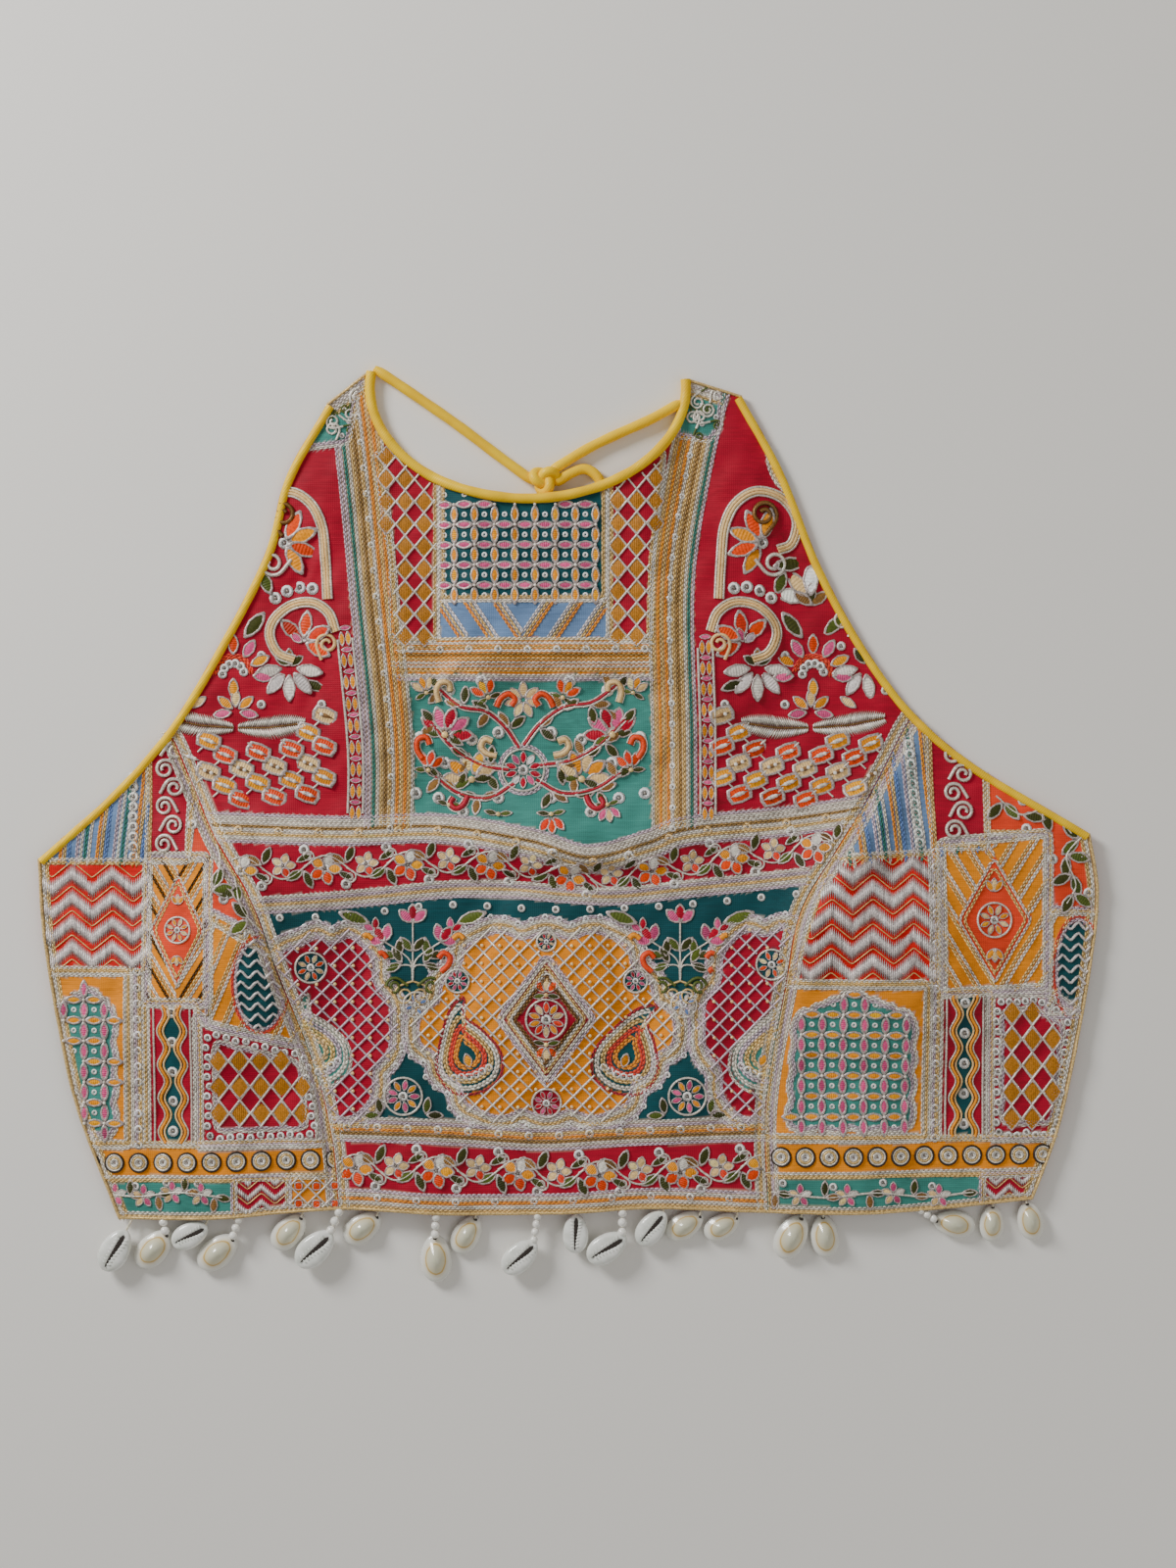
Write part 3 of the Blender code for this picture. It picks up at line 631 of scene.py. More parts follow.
for name, route in TIES.items():
    line = smooth_line(route, 10)
    # The turned ends are rounded, not cut off square
    radii = np.full(len(line), TIE_RADIUS)
    radii[:2] = TIE_RADIUS * np.array([0.6, 0.9])
    radii[-2:] = TIE_RADIUS * np.array([0.9, 0.6])
    radii *= 1 + 0.025 * np.sin(reach_of(line) / 2.3)
    tie = ready(cord_curve(name + "_tube", [line], [radii], yellow_satin, roundness=4))
    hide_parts(name)
    print(name, round(reach_of(line)[-1], 1), "mm long")

# %% The knot
KNOT_CENTRE, KNOT_SIZE = np.array([-8.9, 234.9, 4.1]), 1.7
turn = np.linspace(0, 2 * math.pi, 73)[:-1]
knot_line = KNOT_CENTRE + KNOT_SIZE * np.column_stack([
    np.sin(turn) + 2 * np.sin(2 * turn), np.cos(turn) - 2 * np.cos(2 * turn), -np.sin(3 * turn),
])
knot = ready(cord_curve("tie_knot_wraps", [knot_line], [2.15], yellow_satin, 4, closed=True))
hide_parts("tie_knot")

# %% [markdown]
# ## Materials of the embroidery
# Raw silk has slubs, so its colour and its surface are a little uneven. Metal thread is a flat foil
# wound on a core: it is partly metallic and glitters in fine steps, partly from its bump and partly from
# painted glints, fine flecks of lighter and darker colour. Silk floss is soft and takes its shine across
# the stitch. Sequins are pressed film with a pearl coat.

# %% Raw silk
PLAIN_CRIMSON = "#960022"


def toned(tree, shader, colour, attribute, level):
    """Gives the shader a colour, or else the attribute's, scaled by a level."""
    if colour:
        source = linear(colour)[:3]
    else:
        source = add(tree, "ShaderNodeAttribute", attribute_name=attribute).outputs["Color"]
    mixed = add(tree, "ShaderNodeVectorMath", {0: source, "Scale": level.outputs[0]}, operation="SCALE")
    tree.links.new(mixed.outputs[0], shader.inputs["Base Color"])


def raw_silk(name, colour=None):
    """Dupion silk. Without a colour it takes the patchwork's colour from the cloth's attribute."""
    material, tree, shader = new_material(name, 0.66, Specular_IOR_Level=0.25)
    place = add(tree, "ShaderNodeTexCoord").outputs["Object"]
    # Slubs run along the weft: about 1 mm high and 12 mm long
    weft = add(tree, "ShaderNodeMapping", {"Vector": place, "Scale": (1 / 12, 1, 1)})
    slub = add(tree, "ShaderNodeTexNoise", {"Vector": weft.outputs[0], "Scale": 1 / MM, "Detail": 3.0})
    cloud = add(tree, "ShaderNodeTexNoise", {"Vector": place, "Scale": 1 / (24 * MM), "Detail": 3.0})
    shade = add(tree, "ShaderNodeMath", {0: slub.outputs["Fac"], 1: cloud.outputs["Fac"]}, operation="ADD")
    level = add(tree, "ShaderNodeMapRange", {
        "Value": shade.outputs[0], "From Min": 0.7, "From Max": 1.3, "To Min": 0.72, "To Max": 1.12,
    })
    toned(tree, shader, colour, "ground", level)
    # Real dupion has 3 threads a millimetre. They are drawn at 0.8 mm so that the weave shows
    warp, picks = (
        add(tree, "ShaderNodeTexWave", {
            "Vector": place, "Scale": WAVE_LENGTH / (0.8 * MM), "Distortion": 0.6,
        }, bands_direction=way)
        for way in "XY"
    )
    weave = add(tree, "ShaderNodeMath", {
        0: warp.outputs["Fac"], 1: picks.outputs["Fac"],
    }, operation="MULTIPLY")
    height = add(tree, "ShaderNodeMath", {0: weave.outputs[0], 1: slub.outputs["Fac"]}, operation="ADD")
    bump = add(tree, "ShaderNodeBump", {
        "Height": height.outputs[0], "Strength": 0.4, "Distance": 0.2 * MM,
    })
    tree.links.new(bump.outputs["Normal"], shader.inputs["Normal"])
    return material


patchwork_silk = raw_silk("patchwork_dupion_silk")
plain_silk = raw_silk("plain_crimson_dupion_silk", PLAIN_CRIMSON)

# %% Thread, floss and sequins


def stitched(name, roughness, colour=None, tone_and_glint_mm=0.8, contrast=0.45, ribs=False, **values):
    """Stitched work. Without a colour each stitch takes its own from the attribute tint."""
    material, tree, shader = new_material(name, roughness, **values)
    place = add(tree, "ShaderNodeTexCoord")
    # Random flecks of tone; on metal thread they also stand in for glitter, as painted glints
    tone_and_glint = add(tree, "ShaderNodeTexNoise", {
        "Vector": place.outputs["Object"], "Scale": 1 / (tone_and_glint_mm * MM), "Detail": 2.0,
    })
    level = add(tree, "ShaderNodeMapRange", {
        "Value": tone_and_glint.outputs["Fac"], "From Min": 0.35, "From Max": 0.65,
        "To Min": 1 - contrast, "To Max": 1.12,
    })
    toned(tree, shader, colour, "tint", level)
    height = tone_and_glint.outputs["Fac"]
    if ribs:
        # Satin stitch: about ten threads side by side across each petal
        height = add(tree, "ShaderNodeTexWave", {"Vector": place.outputs["UV"], "Scale": 1.6}).outputs["Fac"]
    bump = add(tree, "ShaderNodeBump", {"Height": height, "Strength": 0.6, "Distance": 0.25 * MM})
    tree.links.new(bump.outputs["Normal"], shader.inputs["Normal"])
    return material


metal_thread = stitched("wound_metal_thread", 0.42, contrast=0.32, Metallic=0.3)
outline_cord = stitched("silver_outline_cord", 0.42, "#CBBCB6", contrast=0.5, Metallic=0.4)
floss = stitched("twisted_silk_floss", 0.55, contrast=0.3, Sheen_Weight=0.2)
satin_stitch = stitched("satin_stitched_floss", 0.5, contrast=0.25, ribs=True, Specular_IOR_Level=0.25)
# Pearl film: a clear coat over a whitish plastic, with faint colour in the coat
sequin_film = stitched("pearl_sequin_film", 0.22, contrast=0.12, Coat_Weight=0.6, Coat_Roughness=0.1)
print(len(bpy.data.materials), "materials so far")

# %% [markdown]
# ## Stamps
# Each stamp is a template about one unit long, made once with bmesh and then set many times. A petal
# is padded satin stitch with a couched cord round it: a disc whose rim is raised by insets, and whose
# outline is then pinched to two points.

# %% Templates of a few dozen faces
FORM_FOOT, FORM_HEIGHT = -0.3, 0.95


def template(name, bm, *materials):
    """A stamp's object. Its UV map is its own plan."""
    bmesh.ops.recalc_face_normals(bm, faces=bm.faces)
    for face in bm.faces:
        face.smooth = True
    plan = bm.loops.layers.uv.new("UVMap")
    for face in bm.faces:
        for corner in face.loops:
            corner[plan].uv = (corner.vert.co.x, corner.vert.co.y)
    mesh = mesh_from(bm, name)
    for material in materials:
        mesh.materials.append(material)
    return bpy.data.objects.new(name, mesh)


def triangles(form):
    """How many triangles one stamp has."""
    return sum(len(face.vertices) - 2 for face in form.data.polygons)


def grains(*placings):
    """Small pointed grains, each given by its half sizes, its turn in degrees and its middle."""
    bm = bmesh.new()
    for sizes, turn, middle in placings:
        place = Matrix.LocRotScale(Vector(middle), Matrix.Rotation(math.radians(turn), 3, "Z"), Vector(sizes))
        bmesh.ops.create_uvsphere(bm, u_segments=4, v_segments=2, radius=1.0, matrix=place)
    return bm


def rimmed(segments, shape, rim=0.2):
    """A padded form with a cord rim: a petal with two points, a square or a diamond."""
    bm = bmesh.new()
    bmesh.ops.create_circle(bm, cap_ends=True, segments=segments, radius=1.0)
    bmesh.ops.translate(bm, vec=(0, 0, FORM_FOOT), verts=bm.verts)
    top = bmesh.ops.extrude_face_region(bm, geom=bm.faces[:])
    raised = [g for g in top["geom"] if isinstance(g, bmesh.types.BMVert)]
    bmesh.ops.translate(bm, vec=(0, 0, FORM_HEIGHT), verts=raised)
    for face in bm.faces:
        face.material_index = 1
    cap = [g for g in top["geom"] if isinstance(g, bmesh.types.BMFace)]
    bmesh.ops.inset_region(bm, faces=cap, thickness=rim)
    bmesh.ops.inset_region(bm, faces=cap, thickness=0.06, depth=-0.2)
    for face in cap:
        face.material_index = 0
    bmesh.ops.inset_region(bm, faces=cap, thickness=0.22, depth=0.3)
    for vert in bm.verts:
        x, y, _ = vert.co
        reach = math.hypot(x, y)
        if reach > 1e-6 and shape == "petal":
            vert.co.y = y * (0.25 + 0.75 * abs(y) / reach)
        elif reach > 1e-6 and shape == "square":
            vert.co.xy = Vector((x, y)) * (0.55 + 0.45 * reach / max(abs(x), abs(y)))
        elif reach > 1e-6:
            vert.co.xy = Vector((x, y)) * (0.2 + 0.8 * reach / (abs(x) + abs(y)))
    return bm


def ring(profile, segments):
    """A closed profile of distance and height, spun round."""
    bm = bmesh.new()
    verts = [bm.verts.new((distance, 0, height)) for distance, height in profile]
    edges = [bm.edges.new(pair) for pair in zip(verts, verts[1:] + verts[:1])]
    bmesh.ops.spin(
        bm, geom=verts + edges, cent=(0, 0, 0), axis=(0, 0, 1), dvec=(0, 0, 0),
        angle=2 * math.pi, steps=segments, use_merge=True, use_duplicate=False,
    )
    return bm


def small_ball():
    """A coarse ball that stands a little above the cloth."""
    bm = bmesh.new()
    bmesh.ops.create_uvsphere(bm, u_segments=7, v_segments=5, radius=1.0)
    bmesh.ops.translate(bm, vec=(0, 0, 0.6), verts=bm.verts)
    return bm


CHAIN_LINK = [((0.95, 0.54, 0.9), 13 * way, (-0.3 * way, 0.42 * way, 0.1)) for way in (1, -1)]
SEED_GRAIN = [((1, 1, 0.9), 0, (0, 0, 0.2))]
STAMPS = {
    # template, record's material slot
    "link": (template("link", grains(*CHAIN_LINK), metal_thread), "zari_thread"),
    "silk_link": (template("silk_link", grains(*CHAIN_LINK), floss), "silk_floss"),
    "grain": (template("grain", grains(*SEED_GRAIN), metal_thread), "zari_thread"),
    "silk_grain": (template("silk_grain", grains(*SEED_GRAIN), floss), "silk_floss"),
    "petal": (template("petal", rimmed(10, "petal"), satin_stitch, outline_cord), "silk_floss"),
    "lens": (template("lens", rimmed(10, "petal", 0.34), satin_stitch, outline_cord), "silk_floss"),
    "diamond": (template("diamond", rimmed(8, "diamond", 0.1), satin_stitch, outline_cord), "silk_floss"),
    "pad": (template("pad", rimmed(8, "square"), satin_stitch, outline_cord), "silk_floss"),
    "sequin": (template("sequin", ring([(0.3, 0.15), (1.0, 0.5), (0.72, -0.3)], 10), sequin_film), "sequin"),
    "pearl": (template("pearl", small_ball(), sequin_film), "sequin"),
}
for name, (form, _) in STAMPS.items():
    print(name, triangles(form), "triangles")

# %% [markdown]
# ## Motifs
# The motifs are the common ones of such work: chain bands, petal lattices, nets, zigzags, vines,
# sprays, rosettes, lozenges and paisleys. Each is a short function of a place, a turn and a size, so
# the patchwork below reads as a list of what is sewn where.

# %% Small parts of a motif
CIRCLE = compass(np.linspace(0, 2 * math.pi, 33))


def placed(points, place, turn=0.0, size=1.0):
    """Points of a motif, sized, turned and moved to their place."""
    p = np.atleast_2d(np.asarray(points, float)) * size
    c, s = math.cos(turn), math.sin(turn)
    return np.column_stack([p[:, 0] * c - p[:, 1] * s, p[:, 0] * s + p[:, 1] * c]) + np.asarray(place, float)


def span(outline):
    """The low and the high corner of an outline."""
    return outline.min(axis=0), outline.max(axis=0)


def fan(place, turn, tints, spread, reach, size, area):
    """Petals that open from one place, one for each tint, over a spread in degrees."""
    angles = turn + np.radians(spread) * np.linspace(-0.5, 0.5, len(tints))
    for tint, angle in zip(tints, angles):
        press("petal", placed([[reach, 0]], place, angle), angle, (*size, 0.75), tint, area)


def curl(place, turn, size, thread, area, way=1, width=0.95):
    """A cord that winds up in a spiral. Size is the distance it covers before it curls in."""
    t = np.linspace(0, 1, 26)
    radius = size * (0.42 - 0.30 * t)
    angle = way * (t * 1.5 * 2 * math.pi - math.pi / 2)
    spiral = (size * 0.5, way * size * 0.42) + radius[:, None] * compass(angle)
    couch(thread, placed(np.vstack([[0, 0], spiral]), place, turn), width, area, step=1.1)


def hook(place, turn, size, tint, area, way=1):
    """A thick comma of floss between two fine silver cords."""
    line = smooth_line(np.array([(0, 0), (0.5, 0.02), (0.86, 0.3), (0.74, 0.7), (0.36, 0.66)]) * (1, way), 8)
    line = placed(line, place, turn, size)
    couch(tint, line, 2.3, area, step=1.1)
    for offset in (-1.45, 1.45):
        couch("silver", beside(line, offset), 0.7, area, step=1.1)


def spangles(points, size, area, tint="white"):
    """A sequin on each point, held by a knot at its middle."""
    press("sequin", points, 0, (size, size, 0.45), tint, area, shade=0.05, lift=0.15)
    press("pearl", points, 0, (size * 0.27, size * 0.27, 0.35), "pewter", area, lift=0.15)


def sequins(line, gap, size, tint, area):
    """A row of sequins along a line."""
    spangles(dense(line, gap), size, area, tint)


def rosette(place, radius, count, tints, area):
    """A ring of petals inside a cord, with a sequin for its eye."""
    couch("silver", placed(CIRCLE, place, 0, radius), 1.0, area)
    fan(place, 0, [tints[k % len(tints)] for k in range(count)], 360 * (count - 1) / count,
        radius * 0.6, (radius * 0.33, radius * 0.17), area)
    spangles([place], radius * 0.27, area)


def flower(place, turn, size, tints, area):
    """An open flower seen from its side, with a cup of two leaves."""
    fan(place, turn, ("olive", "green"), 200, size * 0.36, (size * 0.36, size * 0.15), area)
    fan(place, turn, tints, 36 * (len(tints) - 1), size * 0.56, (size * 0.44, size * 0.235), area)
    press("pearl", [place], 0, (size * 0.12, size * 0.12, 0.9), "gold", area, lift=0.4)


def leaf_pair(place, turn, size, area, tints=("olive", "green")):
    """Two leaves that open from one place."""
    fan(place, turn, tints, 84, size * 0.5, (size * 0.5, size * 0.24), area)


def leafy(route, size, area, tints, shares):
    """A couched stem through a few points, with pairs of leaves along it."""
    stem = smooth_line(route)
    couch("silver", stem, 1.0, area)
    for k, share in enumerate(shares):
        turn = headings(stem)[int(share * (len(stem) - 1))]
        leaf_pair(at_share(stem, [share])[0], turn + (0.8 if k % 2 else -0.8), size, area, tints)
    return stem


def spray(place, turn, size, tints, area):
    """Five stems with buds at their tips, leaves below them and curls at the foot."""
    for side, reach, lean in (
        (0, 1.0, 0.0), (1, 0.82, 0.62), (-1, 0.82, -0.62), (1, 0.6, 1.25), (-1, 0.6, -1.25),
    ):
        bend = [(0, 0), (reach * 0.45, side * 0.06), (reach * math.cos(lean), reach * math.sin(lean))]
        stem = placed(smooth_line(bend, 8), place, turn, size)
        couch("silver", stem, 0.8, area)
        fan(stem[-1], turn + lean, tints[:3], 96, size * 0.16, (size * 0.17, size * 0.1), area)
        low_on_stem = placed([[reach * 0.5, side * reach * 0.3]], place, turn, size)[0]
        leaf_pair(low_on_stem, turn + lean, size * 0.34, area)
    for way in (1, -1):
        curl(place, turn + way * 1.9, size * 0.42, "gold", area, way)


def plume(line, half_width, area):
    """Slanting stitches on both sides of a rib, longest at its middle."""
    path = dense(line, 0.95)
    tall = half_width * np.sin(math.pi * np.linspace(0.08, 0.92, len(path))) ** 0.6
    for side in (-1, 1):
        turn = headings(path) + side * 1.1
        middle = path + compass(turn) * tall[:, None] / 2
        sizes = np.column_stack([tall * 0.62, np.full(len(path), 0.62), np.full(len(path), 0.8)])
        press("grain", middle, turn, sizes, "silver", area)
    couch("old_gold", path, 0.8, area)


# %% Bands and vines
BLOOMS = (("orange", "yellow", "silver", "yellow", "orange"), ("cream", "cream", "coral", "cream", "cream"))


def vine(line, repeat, half_height, area):
    """A waving stem with open flowers, large and small by turns, leaves, curls and sequins."""
    line = dense(line, 1.2)
    reach, turn = reach_of(line), headings(line)
    normal = leftwards(turn)
    wave = np.sin(math.pi * reach / repeat) * half_height * 0.5
    couch("silver", line + normal * wave[:, None], 0.9, area)
    for k in range(int(reach[-1] / repeat)):
        side, large = (1 if k % 2 == 0 else -1), k % 2 == 0
        shares = (k + np.array([0.5, 1.0])) * repeat / reach[-1]
        here = at_share(np.column_stack([line, turn, normal]), shares)
        (place, angle, up), (cross, _, _) = ((row[:2], row[2], row[3:] * side) for row in here)
        heart = place - up * half_height * 0.08
        size = half_height * (0.36 if large else 0.27)
        fan(heart, angle + 1.2 * side, BLOOMS[k % 2], 288, size * 1.15, (size, size * 0.74), area)
        spangles([heart], size * 0.72, area)
        leaf_pair(cross + up * half_height * 0.12, angle + 1.9 * side, half_height * 0.92, area,
                  ("olive", "old_gold") if large else ("green", "olive"))
        press("petal", [cross - up * half_height * 0.42], angle - 0.5 * side,
              (half_height * 0.42, half_height * 0.17, 0.8), "olive", area)
        foot = cross - up * half_height * 0.05
        curl(foot, angle - side * 0.5, half_height * 0.7, "silver", area, -side, 0.8)
        spangles([cross - up * half_height * 0.78], 2.3, area)


def lattice(area, cell, slope, thread, tints=(), stamp="", size=(), width=0.9):
    """Cords that cross at a slope in degrees. The tints repeat from mesh to mesh, and None leaves it bare."""
    slope = math.radians(slope)
    low, high = span(area[0])
    middle, reach = (low + high) / 2, float(np.linalg.norm(high - low)) / 2 + cell
    count = int(reach / (cell * min(math.cos(slope), math.sin(slope)))) + 1
    ways = [np.array([math.cos(a), math.sin(a)]) * cell for a in (slope, math.pi - slope)]
    i, j = np.meshgrid(np.arange(-count, count + 1), np.arange(-count, count + 1))
    for k, tint in enumerate(tints):
        here = (i + j) % len(tints) == k
        if tint:
            spots = middle + i[here][:, None] * ways[0] + j[here][:, None] * ways[1]
            press(stamp, spots, 0, (*size, 0.7), tint, area, shade=0.06)
    for this, other in (ways, ways[::-1]):
        for k in range(-count, count + 1):
            start = middle + (k + 0.5) * other
            couch(thread, [start - this * count, start + this * count], width, area)


def petal_grid(area, cell, upright, level):
    """Lens petals that meet at the corners of a square grid, with a ring sequin in each cell."""
    low, high = span(area[0])
    xs = np.arange(low[0] - cell / 3, high[0] + cell, cell)
    ys = np.arange(low[1] - cell / 3, high[1] + cell, cell)
    corners, half = np.column_stack([g.ravel() for g in np.meshgrid(xs, ys)]), cell / 2
    size = (half, cell * 0.22, 0.75)
    press("lens", corners + (0, half), math.pi / 2, size, upright, area)
    press("lens", corners + (half, 0), 0, size, level, area)
    press("sequin", corners + half, 0, (1.25, 1.25, 0.4), "white", area, shade=0.06)
    press("pearl", corners, 0, (0.7, 0.7, 0.9), "silver", area)


def tiled(area, tilt, mirror):
    """Padded tiles on a slanting grid, each with a pale bar and two knots."""
    low, high = span(area[0])
    i, j = (g.ravel() for g in np.meshgrid(range(-12, 13), range(-12, 13)))
    spots = (low + high) / 2 + np.column_stack([(i * 7.0 + j * 7.2) * mirror, i * 6.0 - j * 7.2])
    keep = within(spots, area)
    spots, order = spots[keep], (i + 2 * j)[keep] % 3
    for k, (tint, bar) in enumerate((("orange", "frost"), ("yellow", "silver"), ("cream", "old_gold"))):
        chosen = spots[order == k]
        press("pad", chosen, tilt, (5.7, 3.9, 0.8), tint, area)
        press("silk_grain", chosen, tilt, (4.2, 1.0, 0.7), bar, area, lift=0.65)
        for side in (-1.5, 1.5):
            knots = chosen + (side * math.cos(tilt), side * math.sin(tilt))
            press("pearl", knots, 0, (0.9, 0.9, 0.6), "silver", area, lift=0.8)
    # The cord that leads from tile to tile
    for start in spots:
        couch("silver", [start + (2.4 * mirror, 2.0), start + (4.6 * mirror, 4.0)], 0.9, area, step=0.8)
        couch("silver", [start + (2.4 * mirror, -2.6), start + (4.8 * mirror, -4.8)], 0.9, area, step=0.8)


def zigzags(area, pitch, period, swing, stitch):
    """Upright stitches in rows that go up and down, with a fine cord under each row."""
    low, high = span(area[0])
    xs = np.arange(low[0] - 1, high[0] + 1, 0.85)
    rise = abs((xs - low[0]) / period % 1 - 0.5) * 2 * swing
    for y in np.arange(low[1] - swing, high[1] + pitch, pitch):
        row = np.column_stack([xs, y + rise])
        tip = (0, stitch * 0.6)
        row = row[within(row + tip, area) & within(row - tip, area)]
        press("grain", row, math.pi / 2, (stitch, 0.66, 0.6), "frost", area)
        couch("gold", np.column_stack([xs, y + rise - stitch - 0.5]), 0.55, area, step=1.2)


def stripes(area, turn, tints, pitch=1.6):
    """Chain rows side by side over a whole patch. None leaves the ground bare."""
    low, high = span(area[0])
    middle, reach = (low + high) / 2, float(np.linalg.norm(high - low)) / 2
    for k, offset in enumerate(np.arange(-reach, reach, pitch)):
        tint = tints[k % len(tints)]
        if tint:
            row = placed([(-reach, offset), (reach, offset)], middle, math.radians(turn))
            chain(row, [tint], area, width=pitch)


def diamond(place, half_width, half_height):
    """The outline of an upright diamond."""
    return placed([(0, -half_height), (half_width, 0), (0, half_height), (-half_width, 0)], place)


def lozenge(panel, place, half_width, half_height, area, ground, tints):
    """A diamond patch with cords one inside another round a rosette."""
    grounds[panel].append((diamond(place, half_width, half_height), ground, ()))
    for share, tint in ((0.98, "silver"), (0.84, "gold")):
        chain(around(diamond(place, half_width * share, half_height * share)), [tint], area, width=1.5)
    small = min(half_width, half_height)
    rosette(place, small * 0.46, 8, tints, area)
    for way in (math.pi / 2, -math.pi / 2):
        heart = placed([[half_height * 0.44, 0]], place, way)[0]
        petal = (small * 0.2, small * 0.1)
        fan(heart, way, ("yellow", "cream", "yellow"), 70, small * 0.2, petal, area)


DROP_SHAPE = closed_line([
    (0, -1.0), (0.55, -0.82), (0.74, -0.3), (0.5, 0.28), (0.2, 0.7), (0.34, 1.08),
    (-0.05, 0.9), (-0.42, 0.36), (-0.7, -0.26), (-0.54, -0.8),
])


def paisley(place, turn, size, area, tints):
    """A paisley filled with chain rows, one inside another."""
    for share, tint in zip((1.0, 0.80, 0.60, 0.40), tints):
        shape = placed(DROP_SHAPE * share + (0, -0.12 * (1 - share)), place, turn, size)
        chain(around(shape), [tint], area, width=size * 0.16)
    eye = placed([[0, -0.3]], place, turn, size)
    press("petal", eye, turn + math.pi / 2, (size * 0.2, size * 0.12, 0.8), "yellow", area)


AREA = {name: beside(around(line), 0.7)[:-1] for name, line in OUTLINE.items()}
grounds = {name: [] for name in PANELS}


def patch(panel, corners, ground, edging=("silver", "lilac", "gold"), cut=()):
    """Marks out one patch of a panel, runs its edging plait round it, and returns its area.

    Cut holds outlines that the patch ends at."""
    outline = np.array(corners, float)
    grounds[panel].append((outline, ground, cut))
    if edging:
        chain(around(outline), edging, (*cut, AREA[panel]))
    return [outline, *cut, AREA[panel]]


print("motifs ready,", len(grounds), "panels")

# %% [markdown]
# ## Centre front: the bands and the yoke
# Two upright braids run down from the straps and hold the yoke between them. Across the waist lie two
# plaits with a crimson vine between them, and one more pair closes the hem. A plait is chain stitch in
# many rows, and one row of sequins breaks it up.

# %% Long braids of the centre front
centre = [AREA["centre"]]
BRAID_LEFT = smooth_line([(-75.5, 86), (-75.5, 125), (-82, 190), (-87, 240), (-92.5, 284)])
BRAID_RIGHT = smooth_line([(46.5, 86), (46.5, 125), (45.5, 190), (53, 240), (62.5, 280)])
BRAID_TINTS = (
    "lilac", "lilac", "teal", "silver", "gold", "brass", "gold", "silver", "yellow", "gold", "yellow",
    "gold", "silver",
)
WAIST_UPPER = smooth_line([
    (-156, 87), (-97, 85), (-53, 86), (-15, 80), (10, 73), (35, 79), (52, 85), (94, 89), (128, 94),
])
WAIST_LOWER = smooth_line([
    (-142, 53), (-104, 55), (-80, 57), (-50, 60), (-24, 60), (0, 58), (22, 57), (50, 60), (80, 63), (104, 66),
])
HEM_UPPER = smooth_line([(-106, -42), (-60, -43), (-15, -46), (10, -45), (50, -43), (88, -42)])
WAIST_TINTS = ("lilac", "silver", "silver", "brass", "silver", "gold", "silver", "lilac")
STRAP_ENDS = (
    np.array([(-110, 249), (-93, 251), (-90, 268), (-84, 284), (-110, 284)], float),
    np.array([(48, 254), (62, 252), (66, 258), (68, 284), (48, 284)], float),
)

under_straps = [outside(end) for end in STRAP_ENDS] + centre
chain(BRAID_LEFT, BRAID_TINTS, under_straps)
chain(BRAID_RIGHT, BRAID_TINTS[:0:-1], under_straps)
sequins(beside(BRAID_LEFT, -0.8), 11, 1.5, "white", under_straps)
sequins(beside(BRAID_RIGHT, 0.8), 9, 1.5, "white", under_straps)
chain(WAIST_UPPER, WAIST_TINTS, centre)
chain(WAIST_LOWER, ("silver", "lilac", "gold", "silver", "lilac"), centre, width=1.6)
sequins(beside(WAIST_UPPER, -0.8), 17, 1.9, "cream", centre)
chain(HEM_UPPER, ("silver", "lilac", "gold", "yellow", "brass", "silver", "lilac"), centre, width=1.6)
chain(beside(hem_centre, 4.7), ("lilac", "silver", "yellow", "silver", "gold"), centre, width=1.7)
sequins(beside(HEM_UPPER, 1.0), 13, 1.9, "white", centre)
sequins(beside(hem_centre, 5.4), 17, 1.7, "white", centre)
for end, places in zip(STRAP_ENDS, (
    [(-98, 252), (-95, 258), (-97, 263), (-92, 268), (-88, 275)],
    [(56, 257), (62, 260), (56, 265), (62, 268), (58, 273)],
)):
    tip = patch("centre", end, "teal", ("lilac", "silver"))
    for k, place in enumerate(places):
        curl(place, 1.2 + 2.2 * k, 7.5, "silver", tip, (-1) ** k, 1.1)
        curl(place, 4.3 + 2.2 * k, 5.0, "green", tip, (-1) ** k, 0.9)
        spangles([np.add(place, (2.5, 2.0))], 1.2, tip)

# %% The two crimson vines
VINES = [
    # route, repeat, half height
    ([(-146, 69), (-90, 70), (-50, 72), (-15, 70), (10, 65), (40, 69), (80, 75), (118, 80)], 17.5, 9.6),
    ([(-98, -58), (-50, -59), (0, -61), (45, -60), (94, -58)], 17.3, 10.4),
]
for route, repeat, half_height in VINES:
    vine(smooth_line(route), repeat, half_height, centre)

# %% Yoke between the braids
yoke = patch("centre", [(-53, 184), (17, 184), (17, 240), (-53, 240)], "dark_teal", ("gold", "silver"))
petal_grid(yoke, 8.6, "yellow", "pink")
for corners in (
    [(-74, 167), (-55, 167), (-55, 246), (-82, 246), (-74, 200)],
    [(19, 167), (36, 167), (37, 200), (42, 246), (19, 246)],
):
    strip = patch("centre", corners, "crimson", ("gold", "silver"))
    lattice(strip, 6.3, 50, "silver", ("ochre", None), "diamond", (3.9, 4.7))
feathers = patch("centre", [(-54, 167), (18, 167), (18, 183), (-54, 183)], "light_blue", ("silver",))
for side in (-1, 1):
    half = [(-18, 160), (-18, 190), (side * 90 - 18, 190), (side * 90 - 18, 160)]
    stripes([*feathers, np.array(half, float)], side * 56, ("yellow", "gold", "frost", None, None, None), 1.7)
gold_band = patch("centre", [(-73, 152), (37, 152), (37, 167), (-73, 167)], "mustard", ())
stripes(gold_band, 0, ("silver", "gold", "brass", "silver", "gold", "silver", "gold", "silver"), 1.65)
sequins([(-66, 162.5), (34, 162.5)], 12.5, 1.7, "white", centre)
chain([(-73, 150.5), (37, 150.5)], ("silver", "lilac"), centre)
print("yoke pressed,", sum(len(rows) for rows in pressed["link"]), "links so far")

